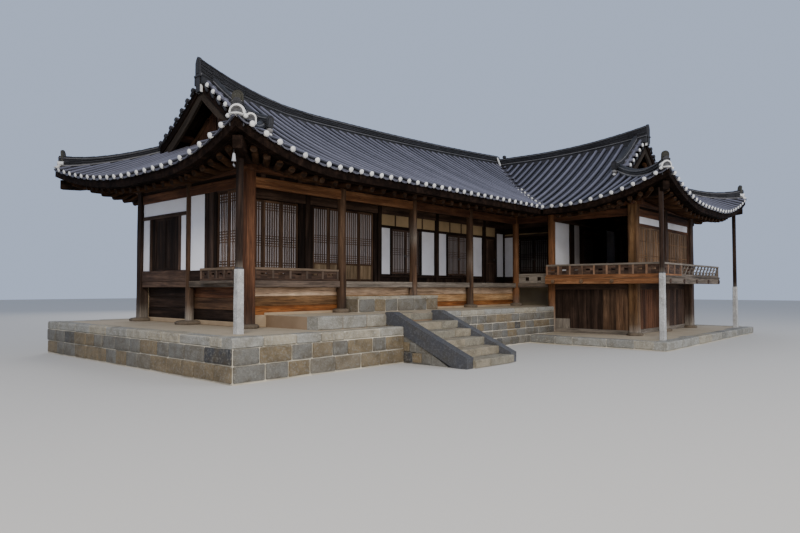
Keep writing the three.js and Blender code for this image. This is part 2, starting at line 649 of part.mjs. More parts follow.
function stairs() {
  const riser = UPPER_Z / RISERS;
  const outline = [[TERRACE_FRONT_Y, GROUND_Z]];
  for (let i = RISERS - 1; i > 0; i -= 1) {
    const y = TERRACE_FRONT_Y - (RISERS - 1 - i) * TREAD;
    outline.push([y, i * riser], [y - TREAD, i * riser]);
  }
  outline.push([TERRACE_FRONT_Y - (RISERS - 1) * TREAD, GROUND_Z]);
  const flight = prismX(outline, STAIR_LEFT_X + CHEEK - 1, STAIR_RIGHT_X - CHEEK + 1);
  const foot = TERRACE_FRONT_Y - RISERS * TREAD + 60;
  const cheekOutline = [
    [TERRACE_FRONT_Y, GROUND_Z],
    [TERRACE_FRONT_Y, UPPER_Z],
    [TERRACE_FRONT_Y - 120, UPPER_Z],
    [foot, 150],
    [foot, GROUND_Z],
  ];
  const cheeks = [STAIR_LEFT_X, STAIR_RIGHT_X - CHEEK].map((x) => prismX(cheekOutline, x, x + CHEEK));
  return join([flight, ...cheeks]);
}

addPiece('stone_stairs', stairs(), STONE);

// Raised earth and stone base under the rooms, and the stone block in front of it

const BLOCK_LEFT_X = 2600;
const BLOCK_RIGHT_X = 5400;
const SKIRT_Y = 110;
const SKIRT = 40;
addPiece('stone_block', box(BLOCK_LEFT_X, BLOCK_RIGHT_X, -350, SKIRT_Y, UPPER_Z, BLOCK_Z), STONE);

const BASE_FRONT_Y = 1130;
addPiece('room_base', prismZ([
  [TERRACE_X, BASE_FRONT_Y],
  [WING_INNER_X - 85, BASE_FRONT_Y],
  [WING_INNER_X - 85, TERRACE_NOTCH_Y],
  [RIGHT_X - 110, TERRACE_NOTCH_Y],
  [RIGHT_X - 110, BACK_Y - 110],
  [TERRACE_X, BACK_Y - 110],
], UPPER_Z, BASE_Z), EARTH);

// Floors

const ROOM_INSET = 110;
addPiece('room_floor', prismZ([
  [ROOM_INSET, INNER_Y + 80],
  [WING_INNER_X + 80, INNER_Y + 80],
  [WING_INNER_X + 80, WING_BACK_Y + 80],
  [RIGHT_X - ROOM_INSET, WING_BACK_Y + 80],
  [RIGHT_X - ROOM_INSET, BACK_Y - ROOM_INSET],
  [ROOM_INSET, BACK_Y - ROOM_INSET],
], BASE_Z, FLOOR_Z), TIMBER);

const SIDE_BEAM_X = WING_X + 110;
addPiece('veranda_floor', prismZ([
  [SKIRT_Y, SKIRT_Y],
  [SIDE_BEAM_X, SKIRT_Y],
  [SIDE_BEAM_X, WING_BACK_Y + 110],
  [WING_INNER_X - 85, WING_BACK_Y + 110],
  [WING_INNER_X - 85, BASE_FRONT_Y],
  [SKIRT_Y, BASE_FRONT_Y],
], BASE_Z, FLOOR_Z), TIMBER);

// Timber frames: columns joined by the floor beam, the lintel and the wall plate

function column(x, y, foot, top) {
  return x === 0 ? squarePost(x, y, foot, top) : roundPost(x, y, foot, top);
}

const frontFeet = [LOWER_Z, UPPER_Z, BLOCK_Z, UPPER_Z, UPPER_Z];
const frontColumns = FRONT_X.map((x, i) => column(x, 0, frontFeet[i], COLUMN_TOP_Z));
const plateTop = (height) => (x, y) => height(x, y) - 100;
const frontPlate = band(
  [0, 1500, 3000, 5000, 7000, 9000, WING_X].map((x) => [x, 0]), 180,
  plateTop(frontZ), () => PLATE_Z);
const frontFrame = join([
  ...frontColumns,
  box(0, WING_X, -60, SKIRT_Y, BEAM_LOW_Z, BEAM_TOP_Z),
  box(0, WING_X, -60, 60, LINTEL_Z, LINTEL_TOP_Z),
  box(0, WING_X, -40, 40, LINTEL_TOP_Z - 5, PLATE_Z + 5),
  frontPlate,
]);
addPiece('front_frame', underRoof(frontFrame), TIMBER);

const LEDGE_X = 170;
const LEDGE_Y = [280, 1480];
const leftWindow1 = [260, 1040, 1660, 3400];
const leftWindow2 = [2760, 3620, SILL_Z + 20, 3040];
function leftWall() {
  const frame = join([
    squarePost(0, DEPTH_BAY, LOWER_Z, COLUMN_TOP_Z),
    squarePost(0, BACK_Y, LOWER_Z, COLUMN_TOP_Z),
    squarePost(0, INNER_Y, BEAM_LOW_Z, LINTEL_Z + 50, POST),
    box(-60, SKIRT_Y, COLUMN_R + GAP, BACK_Y - COLUMN_R + 5, BEAM_LOW_Z, BEAM_TOP_Z),
    box(-LEDGE_X, -50, LEDGE_Y[0], LEDGE_Y[1], BEAM_TOP_Z - 60, BEAM_TOP_Z),
    box(-60, 60, COLUMN_R + GAP, BACK_Y, LINTEL_Z, LINTEL_TOP_Z),
    box(-40, 40, COLUMN_R + GAP, BACK_Y, BEAM_TOP_Z - 5, PLATE_Z + 5),
    box(-90, 90, COLUMN_R + GAP, BACK_Y + 90, PLATE_Z, PLATE_TOP_Z),
  ]);
  const holes = [leftWindow1, leftWindow2].map(([y0, y1, z0, z1]) => box(-200, 200, y0, y1, z0, z1));
  const beamNotch = box(-GAP, SKIRT_Y + 1, 0, SKIRT_Y + GAP, BEAM_LOW_Z - 1, BEAM_TOP_Z + 1);
  return underRoof(cut(frame, [...holes, beamNotch]));
}
addPiece('left_wall', leftWall(), PLASTER);

const SHUTTER_TOP = 3160;
const SHUTTER_BAYS = [[WING_X + 120, WING_MID_X - 100], [WING_MID_X + 100, RIGHT_X - 120]];
const transoms = SHUTTER_BAYS.map(([x0, x1]) => cut(
  box(x0 - 5, x1 + 5, WING_FRONT_Y - 40, WING_FRONT_Y + 40, DECK_Z, LINTEL_Z + 5),
  [box(x0 + 100, x1 - 100, WING_FRONT_Y - 200, WING_FRONT_Y + 200, DECK_Z - 10, SHUTTER_TOP)]));

// Columns of the raised pavilion, with a margin to cut the deck round them
const pavilionColumns = (margin) => [
  roundPost(WING_X, WING_BACK_Y, WING_PLATFORM_Z, COLUMN_TOP_Z, 110 + margin),
  squarePost(WING_X, WING_FRONT_Y, WING_PLATFORM_Z, COLUMN_TOP_Z, 240 + 2 * margin),
  squarePost(WING_MID_X, WING_FRONT_Y, WING_PLATFORM_Z, COLUMN_TOP_Z, 2 * COLUMN_R + 2 * margin),
  squarePost(RIGHT_X, WING_FRONT_Y, WING_PLATFORM_Z, COLUMN_TOP_Z, 240 + 2 * margin),
];
const SIDE_END_Y = -COLUMN_R - GAP;
const pavilionFrame = join([
  ...transoms,
  ...pavilionColumns(0),
  box(WING_X - 60, SIDE_BEAM_X, WING_BACK_Y, SIDE_END_Y, BEAM_LOW_Z, BEAM_TOP_Z),
  box(WING_X - 60, WING_X + 60, WING_FRONT_Y, SIDE_END_Y, LINTEL_Z, LINTEL_TOP_Z),
  box(WING_X - 40, WING_X + 40, WING_FRONT_Y, SIDE_END_Y, LINTEL_TOP_Z - 5, PLATE_Z + 5),
  box(WING_X - 90, WING_X + 90, WING_FRONT_Y, SIDE_END_Y, PLATE_Z, PLATE_TOP_Z),
  box(WING_X - 60, WING_X + 60, WING_FRONT_Y, WING_BACK_Y, DECK_LOW_Z, DECK_UNDER_Z),
  box(WING_X, RIGHT_X, WING_FRONT_Y - 60, WING_FRONT_Y + 60, DECK_LOW_Z, DECK_UNDER_Z),
  box(WING_X, RIGHT_X, WING_FRONT_Y - 60, WING_FRONT_Y + 60, LINTEL_Z, LINTEL_TOP_Z),
  box(WING_X, RIGHT_X, WING_FRONT_Y - 40, WING_FRONT_Y + 40, LINTEL_TOP_Z - 5, PLATE_Z + 5),
  box(WING_X - 90, RIGHT_X + 90, WING_FRONT_Y - 90, WING_FRONT_Y + 90, PLATE_Z, PLATE_TOP_Z),
]);
addPiece('pavilion_frame', underRoof(pavilionFrame), TIMBER);

// Plank skirts under the floors

const SKIRT_BACK_Y = SKIRT_Y + SKIRT;
addPiece('veranda_skirt', join([
  prismY([
    [SKIRT_Y, LOWER_Z],
    [TERRACE_X, LOWER_Z],
    [TERRACE_X, UPPER_Z],
    [WING_X + 100, UPPER_Z],
    [WING_X + 100, BASE_Z],
    [SKIRT_Y, BASE_Z],
  ], SKIRT_Y, SKIRT_BACK_Y),
  box(SKIRT_Y, SKIRT_BACK_Y, SKIRT_BACK_Y - 1, BACK_Y - ROOM_INSET, LOWER_Z, BASE_Z),
]), ORANGE_TIMBER);

const SKIRT_FOOT_Z = 330;
const SILL_WIDTH = 80;
const [skirtY0, skirtY1] = [WING_FRONT_Y + 120 + GAP, WING_BACK_Y - 110 - GAP];
addPiece('pavilion_side_skirt', join([
  box(WING_X - 20, WING_X + 20, skirtY0, skirtY1, SKIRT_FOOT_Z - 1, DECK_LOW_Z),
  box(WING_X - SILL_WIDTH / 2, WING_X + SILL_WIDTH / 2, skirtY0, skirtY1, WING_PLATFORM_Z, SKIRT_FOOT_Z),
]), DARK_TIMBER);
addPiece('pavilion_end_skirt', join([
  box(WING_X + 40 + GAP, RIGHT_X - 40 - GAP, skirtY0, skirtY0 + SKIRT, SKIRT_FOOT_Z - 1, DECK_LOW_Z),
  box(WING_X + 40 + GAP, RIGHT_X - 40 - GAP, skirtY0, skirtY0 + SILL_WIDTH, WING_PLATFORM_Z, SKIRT_FOOT_Z),
]), DARK_TIMBER);

// Front inner wall, with a post on every grid line and its doorways cut through

const WALL_LEFT_X = POST / 2 + GAP;
const OPENINGS = {
  bay_1: [250, 2170, 1640, 3400],
  bay_2: [2600, 4640, 1640, 3400],
  bay_3: [5350, 6500, SILL_Z, 3060],
  bay_4: [7800, 8950, SILL_Z, 3060],
  bay_5: [9790, 10330, 1640, 3060],
};
const ceilingCut = (height) => (x, y) => height(x, y) - 150;

function frontWall() {
  const wall = band(
    [WALL_LEFT_X, 1500, 3000, 5000, 7000, 9000, WING_INNER_X].map((x) => [x, INNER_Y]), WALL,
    ceilingCut((x, y) => Math.max(frontZ(x, y), innerZ(Math.max(x, EAVE_WING), y))), () => BASE_Z);
  const posts = [...FRONT_X.slice(1), WING_INNER_X].map(
    (x) => squarePost(x, INNER_Y, BASE_Z, POST_TOP_Z, POST));
  const beam = box(WALL_LEFT_X, WING_INNER_X, INNER_Y - 75, INNER_Y + 75, LINTEL_Z, LINTEL_TOP_Z);
  const holes = Object.values(OPENINGS).map(
    ([x0, x1, z0, z1]) => box(x0, x1, INNER_Y - 200, INNER_Y + 200, z0, z1));
  const notches = [
    [0, SKIRT_Y + GAP, BASE_Z - 1, BEAM_TOP_Z + GAP],
    [0, 90 + GAP, PLATE_Z - GAP, PLATE_Z + 600],
    [GABLE_X - GAP, GABLE_X + GABLE_WALL + 2, rise(GABLE_X - EAVE_LEFT) - GABLE_FOOT - GAP, PLATE_Z + 2000],
  ].map(([x0, x1, z0, z1]) => box(x0, x1, INNER_Y - 200, INNER_Y + 200, z0, z1));
  return underRoof(cut(join([wall, ...posts, beam]), [...holes, ...notches]));
}

addPiece('front_wall', frontWall(), PLASTER);

// Wing inner wall along the side veranda

const WING_DOOR = [-470, 590, 1640, 3060];
function wingInnerWall() {
  const [y0, y1] = [WING_BACK_Y + WALL / 2 + GAP, INNER_Y - POST / 2 - GAP];
  const wall = band(
    [y0, -600, 0, 600, y1].map((y) => [WING_INNER_X, y]), WALL, ceilingCut(innerZ), () => BASE_Z);
  const posts = [WING_DOOR[0] - 60, WING_DOOR[1] + 60].map(
    (y) => squarePost(WING_INNER_X, y, BASE_Z, POST_TOP_Z, 100));
  const hole = box(WING_INNER_X - 200, WING_INNER_X + 200, ...WING_DOOR);
  return underRoof(cut(join([wall, ...posts]), [hole]));
}
addPiece('wing_inner_wall', wingInnerWall(), PLASTER);

// Back and right walls: columns, beams and plastered panels framed as one

const BACK_WINDOW = [3200, 4060];
const BACK_WINDOW_Z = [SILL_Z + 60, 3000];
function backWall() {
  const columns = [...FRONT_X.slice(1), WING_MID_X].map((x) => roundPost(x, BACK_Y, UPPER_Z, COLUMN_TOP_Z));
  const corner = squarePost(RIGHT_X, BACK_Y, UPPER_Z, COLUMN_TOP_Z);
  const x0 = COLUMN_R + GAP;
  const wall = box(x0, RIGHT_X, BACK_Y - 40, BACK_Y + 40, BEAM_LOW_Z, PLATE_Z + 5);
  const foot = box(TERRACE_X, RIGHT_X, BACK_Y - 60, BACK_Y + 60, UPPER_Z, BEAM_LOW_Z + 1);
  const beams = [[BEAM_LOW_Z, BEAM_TOP_Z], [LINTEL_Z, LINTEL_TOP_Z]].map(
    ([z0, z1]) => box(x0, RIGHT_X, BACK_Y - 70, BACK_Y + 70, z0, z1));
  const plate = box(x0, RIGHT_X + 90, BACK_Y - 90, BACK_Y + 90, PLATE_Z, PLATE_TOP_Z);
  const hole = box(...BACK_WINDOW, BACK_Y - 200, BACK_Y + 200, ...BACK_WINDOW_Z);
  return underRoof(cut(join([...columns, corner, wall, foot, ...beams, plate]), [hole]));
}
addPiece('back_wall', backWall(), PLASTER);

const rightWindow = [2500, 3300];
const RIGHT_DOORS = [-3200, -1640, DECK_Z + 60, 3200];
function rightWall() {
  const posts = [INNER_Y, WING_BACK_Y].map((y) => squarePost(RIGHT_X, y, UPPER_Z, COLUMN_TOP_Z));
  const longPost = squarePost(RIGHT_X, WING_BACK_Y, WING_PLATFORM_Z, COLUMN_TOP_Z);
  const [y0, y1] = [WING_FRONT_Y + 120 + GAP, BACK_Y - COLUMN_R - GAP];
  const wall = box(RIGHT_X - 40, RIGHT_X + 40, y0, y1, DECK_Z, PLATE_Z + 5);
  const lowWall = box(RIGHT_X - 40, RIGHT_X + 40, WING_BACK_Y, y1, BEAM_LOW_Z, DECK_Z + 1);
  const foot = box(RIGHT_X - 60, RIGHT_X + 60, TERRACE_NOTCH_Y, y1, UPPER_Z, BEAM_LOW_Z + 1);
  const lintel = box(RIGHT_X - 60, RIGHT_X + 60, y0, y1, LINTEL_Z, LINTEL_TOP_Z);
  const floorBeam = box(RIGHT_X - 60, RIGHT_X + 60, y0, WING_BACK_Y, DECK_LOW_Z, DECK_Z + 1);
  const plate = box(RIGHT_X - 90, RIGHT_X + 90, y0, y1 - 8, PLATE_Z, PLATE_TOP_Z);
  const holes = [
    box(RIGHT_X - 200, RIGHT_X + 200, ...rightWindow, ...BACK_WINDOW_Z),
    box(RIGHT_X - 200, RIGHT_X + 200, ...RIGHT_DOORS),
  ];
  const skirt = box(RIGHT_X - 20, RIGHT_X + 20, y0, WING_BACK_Y, SKIRT_FOOT_Z, DECK_LOW_Z + 1);
  const sill = box(RIGHT_X - 40, RIGHT_X + 40, y0, WING_BACK_Y, WING_PLATFORM_Z, SKIRT_FOOT_Z + 1);
  const parts = [...posts, longPost, wall, lowWall, foot, lintel, floorBeam, plate, skirt, sill];
  return underRoof(cut(join(parts), holes));
}
addPiece('right_wall', rightWall(), PLASTER);

// Wall between the raised pavilion and the wing room

const INNER_DOORS = [11700, 13300, DECK_Z + 60, 3100];
function pavilionBackWall() {
  const [x0, x1] = [WING_X + 110 + GAP, RIGHT_X - COLUMN_R - GAP];
  const wall = band(
    [x0, 10800, RIDGE_X, 13000, x1].map((x) => [x, WING_BACK_Y]), WALL,
    (x, y) => ceilingCut(x < RIDGE_X ? innerZ : outerZ)(x, y), () => WING_PLATFORM_Z);
  const [left, right, low, high] = INNER_DOORS;
  return underRoof(wall.subtract(box(left, right, WING_BACK_Y - 200, WING_BACK_Y + 200, low, high)));
}
addPiece('pavilion_back_wall', pavilionBackWall(), PLASTER);

// Raised pavilion floor and the balcony that runs round two sides of it

const DECK_SIDE_X = WING_X - 500;
const DECK_FRONT_Y = -4530;
const DECK_BACK_Y = WING_BACK_Y - WALL / 2 - GAP;
const deckOutline = [
  [DECK_SIDE_X, DECK_FRONT_Y],
  [RIGHT_X, DECK_FRONT_Y],
  [RIGHT_X, WING_FRONT_Y - 120 - GAP],
  [RIGHT_X - 60 - GAP, WING_FRONT_Y - 120 - GAP],
  [RIGHT_X - 60 - GAP, DECK_BACK_Y],
  [DECK_SIDE_X, DECK_BACK_Y],
];
const joists = steps(DECK_SIDE_X + 600, RIGHT_X - 80, 4).map(
  (x) => box(x - 60, x + 60, DECK_FRONT_Y + 50, WING_FRONT_Y - 60 - GAP, DECK_LOW_Z, DECK_UNDER_Z + 1));
const sideJoists = steps(WING_FRONT_Y + 400, WING_BACK_Y - 300, 2).map(
  (y) => box(DECK_SIDE_X + 50, WING_X - 60 - GAP, y - 60, y + 60, DECK_LOW_Z, DECK_UNDER_Z + 1));
const pavilionFloor = join([
  prismZ(deckOutline, DECK_UNDER_Z, DECK_Z),
  box(DECK_SIDE_X, DECK_SIDE_X + 100, DECK_FRONT_Y, DECK_BACK_Y, DECK_LOW_Z, DECK_UNDER_Z + 1),
  box(DECK_SIDE_X, RIGHT_X, DECK_FRONT_Y, DECK_FRONT_Y + 100, DECK_LOW_Z, DECK_UNDER_Z + 1),
  ...joists,
  ...sideJoists,
]);
const backPost = squarePost(RIGHT_X, WING_BACK_Y, GROUND_Z, LINTEL_Z, 2 * COLUMN_R + 2 * GAP);
addPiece('pavilion_floor', cut(pavilionFloor, [...pavilionColumns(GAP), backPost]), ORANGE_TIMBER);

// Railings

function railing(length, height, bays, thick = 60) {
  const rails = [
    box(0, length, -thick / 2, thick / 2, 0, 60),
    box(0, length, -thick / 2 - 10, thick / 2 + 10, height - 50, height),
    box(0, length, -12, 12, 50, height - 40),
  ];
  const posts = steps(0, length - 60, bays).map((x) => box(x, x + 60, -thick / 2, thick / 2, 0, height - 1));
  return join([...rails, ...posts]);
}

const FRONT_RAIL = 255;
const DECK_RAIL = 337;
addPiece('front_railing', railing(BAY - 2 * COLUMN_R - 20, FRONT_RAIL, 5)
  .translate([COLUMN_R + 10, 0, BEAM_TOP_Z]), TIMBER);
addPiece('left_railing', railing(1180, FRONT_RAIL, 4)
  .rotate([0, 0, 90]).translate([-120, 290, BEAM_TOP_Z]), TIMBER);
addPiece('balcony_railing', join([
  railing(DECK_BACK_Y - DECK_FRONT_Y - 40, DECK_RAIL, 9).rotate([0, 0, 90])
    .translate([DECK_SIDE_X + 50, DECK_FRONT_Y + 20, DECK_Z]),
  railing(RIGHT_X - DECK_SIDE_X - 20, DECK_RAIL, 15).translate([DECK_SIDE_X + 20, DECK_FRONT_Y + 50, DECK_Z]),
]), ORANGE_TIMBER);
addPiece('veranda_end_panel', cut(
  box(WING_X - 20, WING_X + 20, WING_BACK_Y + 120, -COLUMN_R - 10, BEAM_TOP_Z, SILL_Z + 60),
  [-860, -460].map((y) => box(WING_X - 100, WING_X + 100, y, y + 130, 1690, 1800))), TIMBER);

// Corner posts that prop the roof's corners, pale stone below and timber above

const CORNER_STONE = 140;
const CORNER_POST = 95;
const cornerPosts = {
  left: [-958, -1110, LOWER_Z, 1790],
  wing_left: [8577, -4741, WING_PLATFORM_Z, 1840],
  wing_right: [15150, -4741, WING_PLATFORM_Z, 1840],
};
for (const [corner, [x, y, foot, top]] of Object.entries(cornerPosts)) {
  const stone = squarePost(x, y, foot, top, CORNER_STONE);
  const timber = squarePost(x, y, top - 10, POST_TOP_Z, CORNER_POST);
  addPiece(`corner_post_${corner}`, underRoof(stone.add(timber)), PALE_STONE);
}

// Door leaves: a frame with a thinner papered lattice in it

const LEAF = 40;
const PAPER = 16;
const RAIL = 60;

// A leaf that stands in the X and Z plane with its lower left corner at the origin
function leaf(width, height, panel = 0) {
  const outer = box(0, width, -LEAF / 2, LEAF / 2, 0, height);
  const windows = [box(RAIL, width - RAIL, -LEAF, LEAF, Math.max(RAIL, panel), height - RAIL)];
  const paper = box(
    RAIL - 5, width - RAIL + 5, -PAPER / 2, PAPER / 2, Math.max(RAIL, panel) - 5, height - RAIL + 5);
  return cut(outer, windows).add(paper);
}

// A hinged leaf keeps this gap all round, and a thin pivot bar stands in it on the hinge side
const LEAF_GAP = 8;
const PIVOT_R = 6;
const pivot = (x, y, z0, z1) => roundPost(x, y, z0 + GAP, z1 - GAP, PIVOT_R);

function foldingDoors([x0, x1, z0, z1], count, panel) {
  const width = (x1 - x0 - 2 * GAP) / count;
  const leaves = Array.from({ length: count }, (_, i) => leaf(width, z1 - z0 - 2 * GAP, panel)
    .translate([x0 + GAP + i * width, INNER_Y, z0 + GAP]));
  return join(leaves);
}

addPiece('bay_1_folding_doors', foldingDoors(OPENINGS.bay_1, 4, 150), PAPER_DOOR);
addPiece('bay_2_folding_doors', foldingDoors(OPENINGS.bay_2, 4, 420), PAPER_DOOR);

function doorPair(name, [x0, x1, z0, z1]) {
  const width = (x1 - x0 - 3 * LEAF_GAP) / 2;
  const height = z1 - z0 - 2 * LEAF_GAP;
  const left = leaf(width, height).translate([x0 + LEAF_GAP, INNER_Y, z0 + LEAF_GAP]);
  const right = leaf(width, height).translate([x0 + 2 * LEAF_GAP + width, INNER_Y, z0 + LEAF_GAP]);
  const [leftPivot, rightPivot] = [x0 + LEAF_GAP, x1 - LEAF_GAP].map(
    (x) => pivot(x, INNER_Y - LEAF / 2, z0, z1));
  addPiece(`${name}_door_left`, left.add(leftPivot), PAPER_DOOR);
  addPiece(`${name}_door_right`, right.add(rightPivot), PAPER_DOOR);
}

doorPair('bay_3', OPENINGS.bay_3);
doorPair('bay_4', OPENINGS.bay_4);

const [plankX0, plankX1, plankZ0, plankZ1] = OPENINGS.bay_5;
const plankLeaf = box(
  plankX0 + LEAF_GAP, plankX1 - LEAF_GAP, INNER_Y - LEAF / 2, INNER_Y + LEAF / 2,
  plankZ0 + LEAF_GAP, plankZ1 - LEAF_GAP);
const plankPivot = pivot(plankX0 + LEAF_GAP, INNER_Y - LEAF / 2, plankZ0, plankZ1);
addPiece('bay_5_door', plankLeaf.add(plankPivot), DARK_TIMBER);

function wingDoors([y0, y1, z0, z1]) {
  const width = (y1 - y0 - 3 * LEAF_GAP) / 2;
  const starts = [y0 + LEAF_GAP, y0 + 2 * LEAF_GAP + width];
  const hinges = [y0 + LEAF_GAP, y1 - LEAF_GAP];
  return starts.map((start, i) => leaf(width, z1 - z0 - 2 * LEAF_GAP).rotate([0, 0, 90])
    .translate([WING_INNER_X, start, z0 + LEAF_GAP])
    .add(pivot(WING_INNER_X - LEAF / 2, hinges[i], z0, z1)));
}
const [wingDoorFront, wingDoorRear] = wingDoors(WING_DOOR);
addPiece('wing_door_front', wingDoorFront, DARK_TIMBER);
addPiece('wing_door_rear', wingDoorRear, DARK_TIMBER);

// Fixed windows and shutters

function sideWindow(name, x, [y0, y1, z0, z1], count, material) {
  const width = (y1 - y0 - 2 * GAP) / count;
  const leaves = Array.from({ length: count }, (_, i) => leaf(width, z1 - z0 - 2 * GAP)
    .rotate([0, 0, 90]).translate([x, y0 + GAP + i * width, z0 + GAP]));
  addPiece(name, join(leaves), material);
}

sideWindow('left_lattice_window', 0, leftWindow1, 2, PAPER_DOOR);
sideWindow('left_plank_window', 0, leftWindow2, 2, DARK_TIMBER);
sideWindow('right_window', RIGHT_X, [...rightWindow, ...BACK_WINDOW_Z], 2, PAPER_DOOR);
sideWindow('pavilion_side_shutters', RIGHT_X, RIGHT_DOORS, 2, DARK_TIMBER);

function crossDoors(name, y, [x0, x1, z0, z1], material) {
  const width = (x1 - x0 - 2 * GAP) / 2;
  const leaves = [0, 1].map((k) => leaf(width, z1 - z0 - 2 * GAP)
    .translate([x0 + GAP + k * width, y, z0 + GAP]));
  addPiece(name, join(leaves), material);
}

crossDoors('pavilion_inner_doors', WING_BACK_Y, INNER_DOORS, DARK_TIMBER);
crossDoors('back_window', BACK_Y, [...BACK_WINDOW, ...BACK_WINDOW_Z], PAPER_DOOR);

// A pair of plank shutters in each bay of the pavilion's end

const SHUTTER_FRAME = 100;
const SHUTTER = 50;
SHUTTER_BAYS.forEach(([x0, x1], i) => addPiece(`pavilion_shutters_${i + 1}`, box(
  x0 + SHUTTER_FRAME + GAP, x1 - SHUTTER_FRAME - GAP, WING_FRONT_Y - SHUTTER / 2,
  WING_FRONT_Y + SHUTTER / 2, DECK_Z, SHUTTER_TOP - GAP), DARK_TIMBER));

export default model;
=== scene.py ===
"""Korean timber-framed tiled house: the looks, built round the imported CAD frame. Metres, +Z up."""

import math

import bpy
import numpy as np
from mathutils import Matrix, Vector


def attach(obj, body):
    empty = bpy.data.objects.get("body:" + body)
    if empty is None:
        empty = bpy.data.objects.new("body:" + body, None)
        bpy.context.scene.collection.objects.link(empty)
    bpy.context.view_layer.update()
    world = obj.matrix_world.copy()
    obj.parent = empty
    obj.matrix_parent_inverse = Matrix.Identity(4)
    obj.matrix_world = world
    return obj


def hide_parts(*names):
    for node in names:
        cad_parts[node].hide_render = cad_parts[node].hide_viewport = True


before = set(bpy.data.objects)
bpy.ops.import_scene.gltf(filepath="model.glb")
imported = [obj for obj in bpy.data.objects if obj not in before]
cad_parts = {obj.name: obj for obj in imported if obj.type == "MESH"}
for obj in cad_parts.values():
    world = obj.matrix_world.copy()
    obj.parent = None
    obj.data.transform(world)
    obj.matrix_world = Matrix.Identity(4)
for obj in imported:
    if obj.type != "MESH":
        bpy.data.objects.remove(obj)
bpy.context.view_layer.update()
random = np.random.default_rng(11)
UP = np.array((0, 0, 1.0))


def unit(vector):
    return vector / np.linalg.norm(vector)


def left_of(ahead):
    """The level direction to the left of another."""
    return np.array((-ahead[1], ahead[0], 0.0))


def circle(count):
    """Angles evenly spaced round a circle."""
    return np.linspace(0, 2 * math.pi, count, endpoint=False)


def pairs(values):
    """Each value with the one after it."""
    return zip(values[:-1], values[1:])


# Column grid and levels, as in the CAD source
BAY = 2.42
FRONT_X = [0.0, BAY, 2 * BAY, 3 * BAY, 4 * BAY]
DEPTH = 2.12
BACK_Y = 2 * DEPTH
INNER_Y = 1.21
WING_X = FRONT_X[4]
WING_INNER_X = WING_X + 1.21
WING_MID_X = 11.95
RIGHT_X = 14.22
WING_FRONT_Y = -3.63
WING_BACK_Y = -1.21
PLATFORM_Z, LOWER_Z, UPPER_Z, BLOCK_Z = 0.211, 0.704, 0.94, 1.29
BASE_Z, FLOOR_Z = 1.5, 1.583
BEAM_LOW_Z, BEAM_TOP_Z = 1.49, 1.62
SILL_Z, LINTEL_Z, LINTEL_TOP_Z, PLATE_Z = 1.84, 3.42, 3.62, 3.70
DECK_LOW_Z, DECK_UNDER_Z, DECK_Z = 1.59, 1.74, 1.80
POST_TOP_Z, PURLIN_Z, WALL_GAP = PLATE_Z + 0.1, PLATE_Z + 0.105, 0.33
DOOR_FOOT_Z, DOOR_HEAD_Z, DOOR_HEAD_TOP_Z = 1.64, 3.06, 3.13
SOLE_TOP_Z, RAIL_Z, RAIL_TOP_Z, BENCH_Z = 0.33, 2.46, 2.56, 1.88
BALCONY_X, BALCONY_Y = WING_X - 0.5, -4.53
COLUMN = 0.1
LEAF_GAP = 0.002
WINDOW_Z = (SILL_Z + 0.06, 3.0)
BAY_3_DOORS, BAY_4_DOORS = (5.35, 6.50), (7.80, 8.95)

# Roof outline and profile
EAVE_FRONT, EAVE_BACK = -1.6, BACK_Y + 1.6
EAVE_LEFT, EAVE_WING, EAVE_RIGHT = -1.38, WING_X - 1.3, RIGHT_X + 1.3
EAVE_WING_FRONT = WING_FRONT_Y - 1.37
RIDGE_Y, RIDGE_X = DEPTH, WING_MID_X
GABLE_X, VERGE_X = 0.6, 0.2
GABLE_Y, VERGE_Y = -2.76, -3.16
EAVE_Z, ROOF_RISE, ROOF_RUN, ROOF_LINEAR = 3.66, 1.94, 3.72, 0.76
RIDGE_LIFT_LEFT, RIDGE_LIFT_RIGHT, RIDGE_LOW_X = 0.46, 0.27, 3.2
WING_RIDGE_LIFT, WING_RIDGE_LOW_Y, WING_RIDGE_REACH = 0.25, 0.6, 3.8

# Each corner of the roof, how far it turns up and how far from it the eave starts to rise
CORNERS = np.array([
    (EAVE_LEFT, EAVE_FRONT, 0.56, 2.4), (EAVE_LEFT, EAVE_BACK, 0.62, 4.2), (EAVE_RIGHT, EAVE_BACK, 0.6, 3.0),
    (EAVE_WING, EAVE_WING_FRONT, 0.68, 3.0), (EAVE_RIGHT, EAVE_WING_FRONT, 0.68, 3.0)])

# Camera of the photograph
CAMERA_AT = Vector((-7.049, -10.135, 1.471))
CAMERA_LENS = 28.35
CAMERA_HEADING = (0.7473, 0.6645)
CAMERA_PITCH = math.radians(1.965)


def add_camera():
    data = bpy.data.cameras.new("camera")
    data.lens = CAMERA_LENS
    data.sensor_width = 36
    data.clip_end = 200
    camera = bpy.data.objects.new("camera", data)
    bpy.context.scene.collection.objects.link(camera)
    level = math.cos(CAMERA_PITCH)
    ahead = Vector((CAMERA_HEADING[0] * level, CAMERA_HEADING[1] * level, math.sin(CAMERA_PITCH)))
    camera.location = CAMERA_AT
    camera.rotation_euler = ahead.to_track_quat("-Z", "Y").to_euler()
    bpy.context.scene.camera = camera


add_camera()


# Materials


